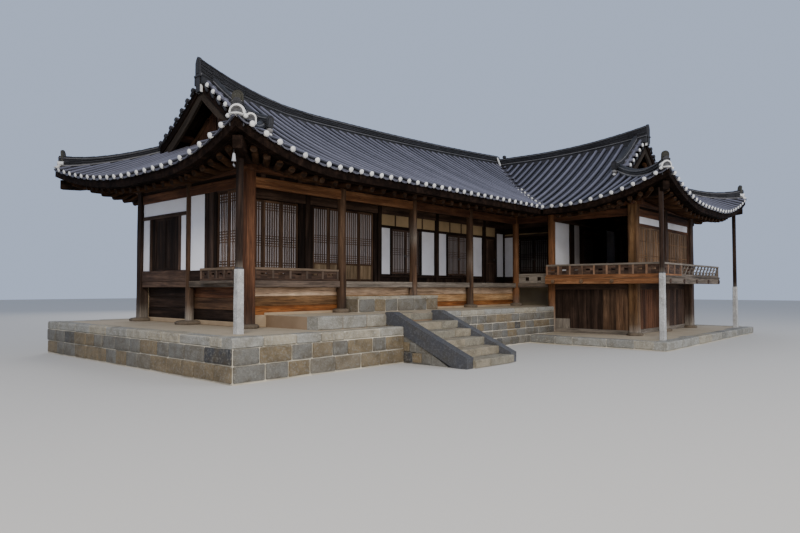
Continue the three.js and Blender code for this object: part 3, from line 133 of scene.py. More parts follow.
class Shader:
    """A node material that is put together by short calls."""

    def __init__(self, name):
        self.material = bpy.data.materials.new(name)
        self.material.use_nodes = True
        self.tree = self.material.node_tree
        self.bsdf = self.tree.nodes["Principled BSDF"]

    def node(self, kind, *inputs, out=0, **settings):
        made = self.tree.nodes.new(kind)
        for key, value in settings.items():
            setattr(made, key, value)
        for slot, value in zip(made.inputs, inputs):
            self.put(slot, value)
        return made.outputs[out]

    def put(self, slot, value):
        if isinstance(value, bpy.types.NodeSocket):
            self.tree.links.new(value, slot)
        elif value is not None:
            slot.default_value = value

    def attribute(self, name, out):
        return self.node("ShaderNodeAttribute", attribute_name=name, out=out)

    def position(self):
        return self.node("ShaderNodeTexCoord", out=3)

    def noise(self, vector, scale, detail=3.0, stretch=None, rough=0.55):
        if stretch:
            vector = self.node("ShaderNodeVectorMath", vector, stretch, operation="MULTIPLY")
        made = self.tree.nodes.new("ShaderNodeTexNoise")
        self.put(made.inputs["Vector"], vector)
        made.inputs["Scale"].default_value = scale
        made.inputs["Detail"].default_value = detail
        made.inputs["Roughness"].default_value = rough
        return made.outputs["Fac"]

    def math(self, operation, a, b=None, clamp=False):
        return self.node("ShaderNodeMath", a, b, operation=operation, use_clamp=clamp)

    def ramp(self, value, *stops):
        made = self.tree.nodes.new("ShaderNodeValToRGB")
        self.put(made.inputs[0], value)
        elements = made.color_ramp.elements
        while len(elements) < len(stops):
            elements.new(0.5)
        for element, (place, color) in zip(elements, stops):
            element.position = place
            element.color = (*color, 1) if isinstance(color, tuple) else (color, color, color, 1)
        return made.outputs[0]

    def mix(self, factor, a, b, blend="MIX"):
        made = self.tree.nodes.new("ShaderNodeMix")
        made.data_type = "RGBA"
        made.blend_type = blend
        for slot, value in ((0, factor), (6, a), (7, b)):
            self.put(made.inputs[slot], (*value, 1) if isinstance(value, tuple) else value)
        return made.outputs[2]

    def bump(self, height, strength, distance):
        made = self.tree.nodes.new("ShaderNodeBump")
        made.inputs["Strength"].default_value = strength
        made.inputs["Distance"].default_value = distance
        self.put(made.inputs["Height"], height)
        self.put(self.bsdf.inputs["Normal"], made.outputs[0])

    def finish(self, color, roughness, specular=0.4):
        self.put(self.bsdf.inputs["Base Color"], color)
        self.put(self.bsdf.inputs["Roughness"], roughness)
        self.bsdf.inputs["Specular IOR Level"].default_value = specular
        return self.material


def wood(name, dark, middle, light, worn=(0.34, 0.29, 0.23), crack=0.55, rough=0.78, gloss=0.2):
    """Weathered timber: streaks and cracks along the grain, a tone for each timber, pale where worn."""
    s = Shader(name)
    grain, tone = s.attribute("grain", 1), s.attribute("tone", 2)
    broad = s.noise(grain, 1.0, 4.0, (0.8, 11.0, 11.0))
    fine = s.noise(grain, 1.0, 3.0, (5.0, 130.0, 130.0), 0.65)
    split = s.noise(grain, 1.0, 2.0, (0.9, 38.0, 38.0), 0.4)
    color = s.ramp(broad, (0.3, dark), (0.5, middle), (0.72, light))
    color = s.mix(0.75, color, s.ramp(fine, (0.32, 0.42), (0.62, 1.25)), "MULTIPLY")
    stain = s.noise(s.position(), 1.6, 4.0)
    color = s.mix(s.ramp(stain, (0.42, 0.0), (0.68, 0.55)), color, tuple(0.45 * c for c in middle))
    lift = s.node("ShaderNodeMapRange", tone, 0.0, 1.0, 0.55, 1.5)
    color = s.mix(1.0, color, s.node("ShaderNodeCombineColor", lift, lift, lift), "MULTIPLY")
    wear = s.math("MULTIPLY", s.attribute("worn", 2), s.ramp(broad, (0.2, 0.45), (0.6, 1.0)))
    color = s.mix(wear, color, s.mix(s.ramp(fine, (0.35, 0.0), (0.6, 1.0)), tuple(0.5 * c for c in worn), worn))
    line = s.ramp(split, (0.47, 0.0), (0.497, 1.0), (0.503, 1.0), (0.53, 0.0))
    color = s.mix(s.math("MULTIPLY", line, crack), color, tuple(0.16 * c for c in dark))
    height = s.math("SUBTRACT", s.math("ADD", fine, s.math("MULTIPLY", broad, 0.6)), line)
    s.bump(height, 0.55, 0.006)
    return s.finish(color, s.ramp(fine, (0.3, rough - 0.12), (0.7, rough + 0.1)), gloss)


def clay(name, dark, light, dust=(0.16, 0.16, 0.17), rough=0.5, patchy=0.6):
    """Fired roof tile: a tone from the mesh (random for each tile, with painted shade on the flanks of cover tiles and
    in the channels), darker soot patches, pale dust and lichen specks.
    """
    s = Shader(name)
    tone = s.attribute("tone", 2)
    place = s.position()
    patch = s.noise(place, 2.3, 5.0)
    speck = s.noise(place, 38.0, 3.0)
    grit = s.noise(place, 210.0, 2.0)
    color = s.ramp(tone, (0.0, dark), (1.0, light))
    color = s.mix(s.ramp(patch, (0.45, 0.0), (0.7, patchy)), color, tuple(0.55 * c for c in dark))
    color = s.mix(s.ramp(speck, (0.58, 0.0), (0.74, patchy)), color, dust)
    color = s.mix(0.35, color, s.ramp(grit, (0.35, 0.55), (0.65, 1.35)), "MULTIPLY")
    s.bump(s.math("ADD", grit, s.math("MULTIPLY", speck, 1.5)), 0.35, 0.003)
    return s.finish(color, s.ramp(speck, (0.3, rough - 0.1), (0.7, rough + 0.22)), 0.45)


def plaster_into(s, color, stain, rough=0.9, depth=0.003):
    place = s.position()
    cloud, sand = s.noise(place, 2.2, 5.0), s.noise(place, 160.0, 3.0)
    trowel = s.noise(place, 9.0, 3.0, (1.0, 1.0, 0.4))
    base = s.mix(s.ramp(cloud, (0.45, 0.0), (0.75, 0.7)), color, stain)
    base = s.mix(0.3, base, s.ramp(sand, (0.3, 0.78), (0.7, 1.12)), "MULTIPLY")
    s.bump(s.math("ADD", sand, s.math("MULTIPLY", trowel, 2.0)), 0.4, depth)
    return s.finish(base, rough, 0.25)


def plaster(name, *colors, **surface):
    """Trowelled lime plaster with broad stains and fine sand."""
    return plaster_into(Shader(name), *colors, **surface)


def stone(name, cool, warm, dark, rough=0.85):
    """Split granite: each block its own tone between cool grey and warm brown, crystals and soil."""
    s = Shader(name)
    tone, place = s.attribute("tone", 2), s.position()
    cloud, crystal = s.noise(place, 5.0, 5.0), s.noise(place, 120.0, 3.0, rough=0.7)
    pit = s.noise(place, 26.0, 4.0)
    base = s.ramp(tone, (0.0, dark), (0.05, dark), (0.14, cool), (0.55, cool), (0.8, warm), (1.0, warm))
    base = s.mix(s.ramp(cloud, (0.4, 0.0), (0.68, 0.7)), base, tuple(0.45 * c for c in warm))
    base = s.mix(s.ramp(pit, (0.5, 0.0), (0.72, 0.6)), base, tuple(1.5 * c for c in cool))
    base = s.mix(0.75, base, s.ramp(crystal, (0.3, 0.4), (0.7, 1.5)), "MULTIPLY")
    s.bump(s.math("ADD", s.math("MULTIPLY", pit, 2.0), crystal), 0.8, 0.012)
    return s.finish(base, rough, 0.3)


WOOD = wood("timber", (0.022, 0.012, 0.008), (0.068, 0.038, 0.024), (0.145, 0.088, 0.058))
BROWN_WOOD = wood("brown_timber", (0.030, 0.014, 0.007), (0.095, 0.050, 0.026), (0.19, 0.11, 0.062))
BOARD_WOOD = wood("brown_boards", (0.045, 0.019, 0.007), (0.165, 0.082, 0.032), (0.31, 0.175, 0.080))
RED_WOOD = wood("red_timber", (0.034, 0.013, 0.006), (0.100, 0.040, 0.018), (0.19, 0.083, 0.040))
RUST_WOOD = wood("rust_timber", (0.062, 0.018, 0.004), (0.190, 0.062, 0.014), (0.31, 0.125, 0.036))
ORANGE_WOOD = wood("orange_timber", (0.085, 0.034, 0.013), (0.200, 0.083, 0.032), (0.33, 0.160, 0.072))
# Painted light: a much lighter timber for the top board of the front skirts, which the beam above shades.
LIT_TAN_WOOD = wood("lit_tan_timber", (0.20, 0.125, 0.070), (0.40, 0.265, 0.165), (0.58, 0.42, 0.28))
AMBER_WOOD = wood("amber_timber", (0.14, 0.065, 0.024), (0.33, 0.185, 0.080), (0.48, 0.31, 0.16))
DARK_WOOD = wood("dark_timber", (0.010, 0.006, 0.004), (0.026, 0.015, 0.010), (0.060, 0.036, 0.025), gloss=0.1)
GREY_WOOD = wood("grey_timber", (0.050, 0.038, 0.028), (0.120, 0.092, 0.068), (0.225, 0.180, 0.138))
CUT_WOOD = wood("cut_timber", (0.060, 0.034, 0.018), (0.150, 0.090, 0.050), (0.26, 0.165, 0.10))
# Painted shade: near-black timber for the soffit, hip rafters, eave and verge boards, which lie in deep shade under the
# roof.
SHADE_WOOD = wood("shade_timber", (0.005, 0.003, 0.002), (0.012, 0.007, 0.005), (0.026, 0.015, 0.010), gloss=0.03)
# Painted shade: the rafters and their sawn ends are darkened for the deep shade under the eaves.
RAFTER_WOOD = wood("rafter_timber", (0.014, 0.007, 0.004), (0.044, 0.021, 0.010), (0.094, 0.046, 0.024), gloss=0.05)
RAFTER_END = wood("rafter_end", (0.014, 0.008, 0.005), (0.030, 0.017, 0.010), (0.058, 0.034, 0.020), gloss=0.05)
GABLE_WOOD = wood("gable_timber", (0.016, 0.007, 0.004), (0.048, 0.020, 0.010), (0.095, 0.043, 0.022), gloss=0.1)
ORANGE_PANEL = wood("door_panel", (0.10, 0.062, 0.030), (0.205, 0.135, 0.072), (0.31, 0.22, 0.125))
TILE = clay("roof_tile", (0.004, 0.004, 0.006), (0.200, 0.193, 0.240), (0.24, 0.235, 0.26), patchy=0.15)
RIDGE_TILE = clay("ridge_tile", (0.006, 0.006, 0.007), (0.030, 0.029, 0.034), (0.085, 0.082, 0.085), rough=0.65)
HEAD_TILE = clay("end_tile", (0.018, 0.017, 0.012), (0.050, 0.046, 0.032), (0.13, 0.13, 0.12), rough=0.75)
OLD_LIME = plaster("weathered_lime", (0.20, 0.19, 0.185), (0.085, 0.08, 0.08), depth=0.006)
LIME = plaster("lime_mortar", (0.70, 0.69, 0.66), (0.46, 0.45, 0.43), depth=0.006)
WHITE_WALL = plaster("white_plaster", (0.80, 0.78, 0.80), (0.66, 0.63, 0.62))
# Painted shade: a darker copy of the white plaster for a panel in shade.
SHADED_WALL = plaster("shaded_plaster", (0.42, 0.375, 0.35), (0.30, 0.26, 0.235))
BEIGE_WALL = plaster("beige_plaster", (0.42, 0.29, 0.15), (0.27, 0.18, 0.09))
PAPER = plaster("door_paper", (0.34, 0.295, 0.275), (0.235, 0.20, 0.185), depth=0.001)
LIT_PAPER = plaster("lit_paper", (0.37, 0.325, 0.31), (0.34, 0.30, 0.29), depth=0.001)
DARK_PAPER = plaster("shaded_paper", (0.105, 0.095, 0.090), (0.07, 0.062, 0.058), depth=0.001)
# Painted light: a lighter copy of the white plaster for the lit panels of the left wall.
LIT_WALL = plaster("lit_plaster", (0.93, 0.92, 0.95), (0.86, 0.84, 0.85))
MORTAR = plaster("stone_mortar", (0.56, 0.50, 0.40), (0.40, 0.35, 0.27), depth=0.008)
SAND = plaster("packed_earth", (0.44, 0.35, 0.23), (0.33, 0.25, 0.16), depth=0.006)
CLAY_WALL = plaster("clay_plaster", (0.36, 0.265, 0.165), (0.25, 0.175, 0.105), depth=0.008)
STONE = stone("block_stone", (0.165, 0.157, 0.136), (0.205, 0.155, 0.090), (0.048, 0.048, 0.050))
CAP_STONE = stone("cap_stone", (0.300, 0.288, 0.250), (0.380, 0.330, 0.240), (0.190, 0.185, 0.165))
CHEEK_STONE = stone("cheek_stone", (0.092, 0.093, 0.100), (0.16, 0.145, 0.12), (0.046, 0.047, 0.054))
FOOT_STONE = stone("footing_stone", (0.13, 0.10, 0.07), (0.16, 0.12, 0.08), (0.07, 0.06, 0.05))
TREAD_STONE = stone("tread_stone", (0.25, 0.225, 0.17), (0.31, 0.26, 0.18), (0.15, 0.135, 0.105), 0.9)
PALE_STONE = stone("pale_stone", (0.46, 0.45, 0.43), (0.50, 0.47, 0.42), (0.40, 0.40, 0.39), 0.75)
IRON = clay("wrought_iron", (0.030, 0.028, 0.027), (0.060, 0.056, 0.052), rough=0.45)
BRONZE = clay("bell_bronze", (0.30, 0.30, 0.32), (0.50, 0.49, 0.50), rough=0.4)


# Mesh pieces


class Piece:
    """Faces of one visible piece, with a grain direction, a tone and wear for each part of it."""

    def __init__(self, name):
        self.name = name
        self.count = 0
        self.materials = []
        self.points, self.faces, self.kinds, self.smooths = [], [], [], []
        self.grains, self.tones, self.worns = [], [], []

    def loft(self, rings, material, tone=None, worn=0.0, smooth=False):
        """A closed body through rings of points. tone may be given for each point or for each place in a ring,
        worn for each ring."""
        rings = np.asarray(rings, float)
        stations, around = rings.shape[:2]
        points = rings.reshape(-1, 3)
        i = np.arange(around)
        after = np.roll(i, -1)
        sides = np.concatenate([np.stack([i, after, after + around, i + around], 1) + k * around
                                for k in range(stations - 1)])
        ends = np.array([i[::-1], (stations - 1) * around + i])
        p = points[sides] - points.mean(0)
        volume = sum(np.einsum("ij,ij->i", p[:, 0], np.cross(p[:, k], p[:, k + 1])).sum() for k in (1, 2))
        if volume < 0:
            sides, ends = sides[:, ::-1], ends[:, ::-1]
        along = rings[-1].mean(0) - rings[0].mean(0)
        reach = np.linalg.norm(along)
        along = along / reach if reach > 1e-6 else np.array((1.0, 0, 0))
        other = unit(np.cross(along, UP if abs(along[2]) < 0.8 else (1.0, 0, 0)))
        axes = np.stack([along, other, np.cross(along, other)], 1)
        if material not in self.materials:
            self.materials.append(material)
        for rows, soft in ((sides, smooth), (ends, False)):
            self.faces.append(rows + self.count)
            self.kinds.append(np.full(len(rows), self.materials.index(material)))
            self.smooths.append(np.full(len(rows), soft))
        tone = random.uniform(0.2, 0.8) if tone is None else tone
        tone = np.tile(tone, stations) if np.size(tone) == around else tone
        worn = np.repeat(worn, around) if np.ndim(worn) else worn
        self.points.append(points)
        self.grains.append(points @ axes + random.uniform(0, 40, 3))
        self.tones.append(np.broadcast_to(tone, len(points)).astype(float))
        self.worns.append(np.broadcast_to(worn, len(points)).astype(float))
        self.count += len(points)

    def beam(self, start, end, width, height, material, chamfer=0.006, up=UP, **look):
        """A straight timber between two points on its centre line, its edges chamfered unless chamfer is 0."""
        along = unit(end - start)
        side = unit(np.cross(along, up))
        above = np.cross(side, along)
        w, h, c = width / 2, height / 2, chamfer
        outline = [(-w, -h), (w, -h), (w, h), (-w, h)]
        shapes = [(start, outline), (end, outline)]
        if c:
            outline = [(-w, c - h), (c - w, -h), (w - c, -h), (w, c - h), (w, h - c), (w - c, h), (c - w, h),
                       (-w, h - c)]
            inner = [(u * (1 - c / w), v * (1 - c / h)) for u, v in outline]
            shapes = [(start, inner), (start + along * c, outline), (end - along * c, outline), (end, inner)]
        self.loft([[p + side * u + above * v for u, v in shape] for p, shape in shapes], material, **look)

    def box(self, x0, x1, y0, y1, z0, z1, material, axis=0, chamfer=0.006, **look):
        """A block with its grain along one axis."""
        low, high = np.array((x0, y0, z0), float), np.array((x1, y1, z1), float)
        start, end = (low + high) / 2, (low + high) / 2
        start[axis], end[axis] = low[axis], high[axis]
        size = high - low
        if axis == 2:
            self.beam(start, end, size[0], size[1], material, chamfer, (0, 1.0, 0), **look)
        else:
            self.beam(start, end, size[1 - axis], size[2], material, chamfer, **look)

    def pole(self, path, radii, material, sides=10, **look):
        """A round timber, rod or knob along a path of points."""
        path = np.asarray(path, float)
        radii = np.broadcast_to(radii, len(path))
        turns = circle(sides)
        ahead = unit(path[-1] - path[0])
        side = unit(np.cross(ahead, UP if abs(ahead[2]) < 0.9 else (1.0, 0, 0)))
        ring = np.outer(np.cos(turns), side) + np.outer(np.sin(turns), np.cross(side, ahead))
        self.loft(path[:, None, :] + radii[:, None, None] * ring[None], material, smooth=True, **look)

    def make(self, slot, replaces=(), body="house"):
        mesh = bpy.data.meshes.new(self.name)
        points = np.concatenate(self.points)
        sizes = np.concatenate([np.full(len(f), f.shape[1]) for f in self.faces])
        corners = np.concatenate([f.ravel() for f in self.faces])
        mesh.vertices.add(len(points))
        mesh.vertices.foreach_set("co", points.astype(np.float32).ravel())
        mesh.loops.add(len(corners))
        mesh.loops.foreach_set("vertex_index", corners.astype(np.int32))
        mesh.polygons.add(len(sizes))
        mesh.polygons.foreach_set("loop_start", np.concatenate([[0], np.cumsum(sizes)[:-1]]).astype(np.int32))
        mesh.polygons.foreach_set("material_index", np.concatenate(self.kinds).astype(np.int32))
        mesh.polygons.foreach_set("use_smooth", np.concatenate(self.smooths))
        for material in self.materials:
            mesh.materials.append(material)
        grain = mesh.attributes.new("grain", "FLOAT_VECTOR", "POINT")
        grain.data.foreach_set("vector", np.concatenate(self.grains).astype(np.float32).ravel())
        for name, values in (("tone", self.tones), ("worn", self.worns)):
            attribute = mesh.attributes.new(name, "FLOAT", "POINT")
            attribute.data.foreach_set("value", np.concatenate(values).astype(np.float32))
        mesh.update(calc_edges=True)
        edge_of = np.empty(len(corners), np.int32)
        mesh.loops.foreach_get("edge_index", edge_of)
        sharp = np.zeros(len(mesh.edges), bool)
        sharp[edge_of[np.repeat(~np.concatenate(self.smooths), sizes)]] = True
        mesh.edges.foreach_set("use_edge_sharp", sharp)
        made = bpy.data.objects.new(self.name, mesh)
        bpy.context.scene.collection.objects.link(made)
        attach(made, body)
        if replaces:
            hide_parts(*replaces)


# Heights of the tiled surface


def rise(run):
    t = run / ROOF_RUN
    return EAVE_Z + ROOF_RISE * (ROOF_LINEAR * t + (1 - ROOF_LINEAR) * t * t)


def corner_lift(x, y):
    away = np.hypot(CORNERS[:, 0] - x, CORNERS[:, 1] - y) / CORNERS[:, 3]
    return (CORNERS[:, 2] * np.clip(1 - away, 0, 1) ** 2).max()


def main_ridge_lift(x):
    if x < RIDGE_LOW_X:
        return RIDGE_LIFT_LEFT * ((RIDGE_LOW_X - x) / RIDGE_LOW_X) ** 2
    return RIDGE_LIFT_RIGHT * min(1.0, (x - RIDGE_LOW_X) / (RIDGE_X - RIDGE_LOW_X)) ** 2


def wing_ridge_lift(y):
    front = max(0.0, (WING_RIDGE_LOW_Y - y) / WING_RIDGE_REACH)
    back = max(0.0, (y - WING_RIDGE_LOW_Y) / (RIDGE_Y - WING_RIDGE_LOW_Y))
    return WING_RIDGE_LIFT * (1 + front * front) + (RIDGE_LIFT_RIGHT - WING_RIDGE_LIFT) * min(1.0, back)


def surface(run, lift, x, y):
    return rise(run) + lift * (run / ROOF_RUN) ** 2 + corner_lift(x, y)


def front_z(x, y):
    return surface(y - EAVE_FRONT, main_ridge_lift(x), x, y)


def back_z(x, y):
    return surface(EAVE_BACK - y, main_ridge_lift(x), x, y)


def left_z(x, y):
    return surface(x - EAVE_LEFT, main_ridge_lift(x), x, y)


def inner_z(x, y):
    return surface(x - EAVE_WING, wing_ridge_lift(y), x, y)


def outer_z(x, y):
    return surface(EAVE_RIGHT - x, wing_ridge_lift(y), x, y)


def wing_front_z(x, y):
    return surface(y - EAVE_WING_FRONT, wing_ridge_lift(y), x, y)


def thickness(run):
    return 0.17 + 0.19 * min(1.0, max(0.0, run) / 0.5)


# Tiled slopes. A slope is laid out by u along its eave and run up from it.

LEFT_HIP_RUN = GABLE_X - EAVE_LEFT
WING_HIP_RUN = GABLE_Y - EAVE_WING_FRONT
WING_RUN = RIDGE_X - EAVE_WING


class Slope:
    """One tiled slope: its height over plan, where its rows lie, and the stretches of run that each row covers."""

    def __init__(self, node, height, place, span, stretches, pitch=0.28):
        self.node, self.height, self.place, self.span, self.stretches = node, height, place, span, stretches
        first, last = span
        self.rows = np.linspace(first, last, round((last - first) / pitch) + 1)
        self.pitch = self.rows[1] - self.rows[0]

    def point(self, u, run, lift=0.0):
        x, y = self.place(u, run)
        return np.array((x, y, self.height(x, y) + lift))

    def run_of(self, x, y):
        """How far up the slope a place in plan lies."""
        first, second = self.point(self.span[0], 0), self.point(self.span[0], 1)
        axis = int(abs(second[1] - first[1]) > abs(second[0] - first[0]))
        return ((x, y)[axis] - first[axis]) * np.sign(second[axis] - first[axis])

    def frame(self, u, run):
        """The direction up the slope, the direction across it, and the outward normal."""
        ahead = self.point(u, run + 0.02) - self.point(u, run - 0.02)
        across = self.point(u + 0.02, run) - self.point(u - 0.02, run)
        ahead, across = unit(ahead), unit(across)
        out = np.cross(across, ahead)
        return ahead, across, out if out[2] > 0 else -out


def main_stretches(u, back):
    low = 0.0 if back else max(0.0, u - EAVE_WING)
    top = min(ROOF_RUN, EAVE_RIGHT - u) if back and u > RIDGE_X else ROOF_RUN
    if u >= GABLE_X:
        return [(low, top)]
    hip = [(0.0, u - EAVE_LEFT)]
    return hip + [(LEFT_HIP_RUN, ROOF_RUN)] if u > VERGE_X else hip


def wing_stretches(u, outer):
    low = 0.0 if outer else max(0.0, u - EAVE_FRONT)
    top = min(WING_RUN, EAVE_BACK - u) if outer else WING_RUN
    if u >= GABLE_Y:
        return [(low, top)]
    hip = [(0.0, u - EAVE_WING_FRONT)]
    return hip + [(WING_HIP_RUN, WING_RUN)] if u > VERGE_Y else hip


SLOPES = {
    "front": Slope("roof_front_slope", front_z, lambda u, r: (u, EAVE_FRONT + r), (EAVE_LEFT, RIDGE_X),
                   lambda u: main_stretches(u, False)),
    "back": Slope("roof_back_slope", back_z, lambda u, r: (u, EAVE_BACK - r), (EAVE_LEFT, EAVE_RIGHT),
                  lambda u: main_stretches(u, True)),
    "left": Slope("roof_left_hip", left_z, lambda u, r: (EAVE_LEFT + r, u), (EAVE_FRONT, EAVE_BACK),
                  lambda u: [(0.0, min(u - EAVE_FRONT, EAVE_BACK - u, LEFT_HIP_RUN))], 0.32),
    "inner": Slope("wing_roof_inner_slope", inner_z, lambda u, r: (EAVE_WING + r, u),
                   (EAVE_WING_FRONT, EAVE_FRONT + WING_RUN), lambda u: wing_stretches(u, False)),
    "outer": Slope("wing_roof_outer_slope", outer_z, lambda u, r: (EAVE_RIGHT - r, u), (EAVE_WING_FRONT, EAVE_BACK),
                   lambda u: wing_stretches(u, True)),
    "wing_front": Slope("wing_roof_front_hip", wing_front_z, lambda u, r: (u, EAVE_WING_FRONT + r),
                        (EAVE_WING, EAVE_RIGHT), lambda u: [(0.0, min(u - EAVE_WING, EAVE_RIGHT - u, WING_HIP_RUN))]),
}

COVER_R = 0.064
COVER_LENGTH = 0.27
CHANNEL_LENGTH = 0.19
SHORT_TILE_R = 0.062
BED_STEP = 0.28
HIP_RUNS = (LEFT_HIP_RUN, WING_HIP_RUN)
ARC = np.linspace(0, math.pi, 9)
# Painted shade across each cover tile: the flanks are darkened against the crown.
ARC_SHADE = np.interp(np.sin(ARC), (0.5, 0.96), (-0.75, 0.0))


def laps(low, high, length):
    """Where the tiles of one row meet, from a random first lap."""
    inner = np.arange(low + length * random.uniform(0.25, 1.0), high - 0.2 * length, length)
    return np.concatenate([[low], inner, [high]])


def arc_ring(centre, radius, across, out):
    """A half circle of points over a centre."""
    return [centre + radius * (math.cos(a) * across + math.sin(a) * out) for a in ARC]


def cover_row(piece, slope, u, low, high):
    """A row of half-round cover tiles, each lapped a little over the one above it."""
    row_laps = laps(low, high, COVER_LENGTH)
    row_tone = random.uniform(0.66, 0.9)
    for near, far in pairs(row_laps):
        rings = []
        for run, radius, lift in ((near - 0.005, COVER_R + 0.0012, 0.0345), (far, COVER_R, 0.034)):
            _, across, out = slope.frame(u, run)
            rings.append(arc_ring(slope.point(u, run) + out * lift, radius, across, out))
        # The tone is the row's random tone with painted shade on the tile's flanks.
        piece.loft(rings, TILE, tone=np.maximum(0.0, row_tone + random.uniform(-0.02, 0.02) + ARC_SHADE), smooth=True)


def channel_row(piece, slope, u, low, high):
    """A row of hollow channel tiles between two rows of cover tiles."""
    row_laps = laps(low, high, CHANNEL_LENGTH)
    half = slope.pitch / 2 - 0.045
    shape = [(-half, 0.030), (-half / 3, 0.006), (half / 3, 0.006), (half, 0.030), (half, -0.03), (-half, -0.03)]
    # The low tone paints the channel tiles dark as shade between the rows of cover tiles.
    row_tone = random.uniform(0.06, 0.14)
    for near, far in pairs(row_laps):
        rings = []
        for run, lift in ((near - 0.005, 0.006), (far, 0.002)):
            _, across, out = slope.frame(u, run)
            centre = slope.point(u, run)
            rings.append([centre + across * a + out * (b + (lift if b > 0 else 0)) for a, b in shape])
        piece.loft(rings, TILE, tone=row_tone + random.uniform(0.0, 0.05))


def round_stop(piece, centre, axis, plane, radius, shake, profile, material):
    """A round, uneven plaster stop in the end of a tile. profile gives its depth and width along the axis."""
    turns = circle(12)
    wobble = 1 + random.uniform(-shake, shake, 12)
    first, second = plane
    piece.loft([[centre + axis * depth + radius * share * w * (math.cos(a) * first + math.sin(a) * second)
                 for a, w in zip(turns, wobble)] for depth, share in profile], material, smooth=True)


def eave_end(piece, slope, u, run, radius=0.053):
    """The stop in the lowest tile of a cover row."""
    ahead, across, out = slope.frame(u, run)
    centre = slope.point(u, run) + out * 0.044 - ahead * 0.004
    profile = (0.03, 0.9), (-0.010, 1.0), (-0.024, 0.74), (-0.030, 0.3)
    round_stop(piece, centre, ahead, (across, out), radius, 0.08, profile, LIME)


def eave_lip(piece, slope, u):
    """The curved lip of the lowest channel tile, hanging a little over the eave."""
    half = slope.pitch / 2 - 0.03
    inward = slope.point(u, 0.1) - slope.point(u, 0.0)
    rings = []
    for share in np.linspace(-1, 1, 7):
        top = slope.point(u + share * half, -0.045) + UP * (0.012 + 0.034 * share * share)
        low = top - UP * 0.028
        rings.append([top, low, low + inward, top + inward])
    piece.loft(rings, TILE, tone=0.3)


def bed(piece, slope, u0, u1):
    """The boards and earth under one channel, down to the soffit."""
    for (a_low, a_high), (b_low, b_high) in zip(slope.stretches(u0 + 1e-4), slope.stretches(u1 - 1e-4)):
        length = max(a_high - a_low, b_high - b_low)
        if length < 0.02:
            continue
        rings = []
        for t in np.linspace(0, 1, 2 + int(length / BED_STEP)):
            ring = []
            for u, low, high in ((u0, a_low, a_high), (u1, b_low, b_high)):
                run = low + (high - low) * t
                deep = 0.2 if low in HIP_RUNS else thickness(run)
                ring += [slope.point(u, run, -0.012), slope.point(u, run, -deep)]
            rings.append([ring[0], ring[1], ring[3], ring[2]])
        # The near-black timber is painted shade under the eaves.
        piece.loft(rings, SHADE_WOOD)


def tiled_slope(name, slope):
    piece = Piece("tiles_" + name)
    breaks = (VERGE_X, GABLE_X) if name in ("front", "back") else (VERGE_Y, GABLE_Y)
    for u0, u1 in pairs(slope.rows):
        for a, b in pairs([u0, *(u for u in breaks if u0 < u < u1), u1]):
            bed(piece, slope, a, b)
        middle = (u0 + u1) / 2
        for low, high in slope.stretches(middle):
            if high - low > 0.06:
                channel_row(piece, slope, middle, low, high)
                if low == 0.0:
                    eave_lip(piece, slope, middle)
    for u in slope.rows[1:-1]:
        for low, high in slope.stretches(u):
            if high - low < 0.1:
                continue
            in_valley = low > 0.0 and name in ("front", "inner") and low not in HIP_RUNS
            start = low + 0.11 if in_valley else low - 0.02
            cover_row(piece, slope, u, start, high)
            if low == 0.0:
                eave_end(piece, slope, u, start)
            elif in_valley and low < 1.7:
                eave_end(piece, slope, u, start, 0.042)
    piece.make("roof_tile", [slope.node])


for slope_name, slope in SLOPES.items():
    tiled_slope(slope_name, slope)


# Ridges of stacked tiles

RIDGE_TOP = 0.31
THIN_COURSE = 0.033


def along_path(path, spacing, *values):
    """Points at an even spacing along a line of points, with values that go with its points beside them."""
    path = np.asarray(path, float)
    steps = np.r_[0, np.cumsum(np.linalg.norm(np.diff(path, axis=0), axis=1))]
    places = np.linspace(0, steps[-1], max(1, round(steps[-1] / spacing)) + 1)
    return np.stack([np.interp(places, steps, column) for column in (*path.T, *values)], 1)


def side_of(path, k):
    """The level direction across a path at one of its points."""
    return unit(left_of(path[min(k + 1, len(path) - 1)] - path[max(k - 1, 0)]))


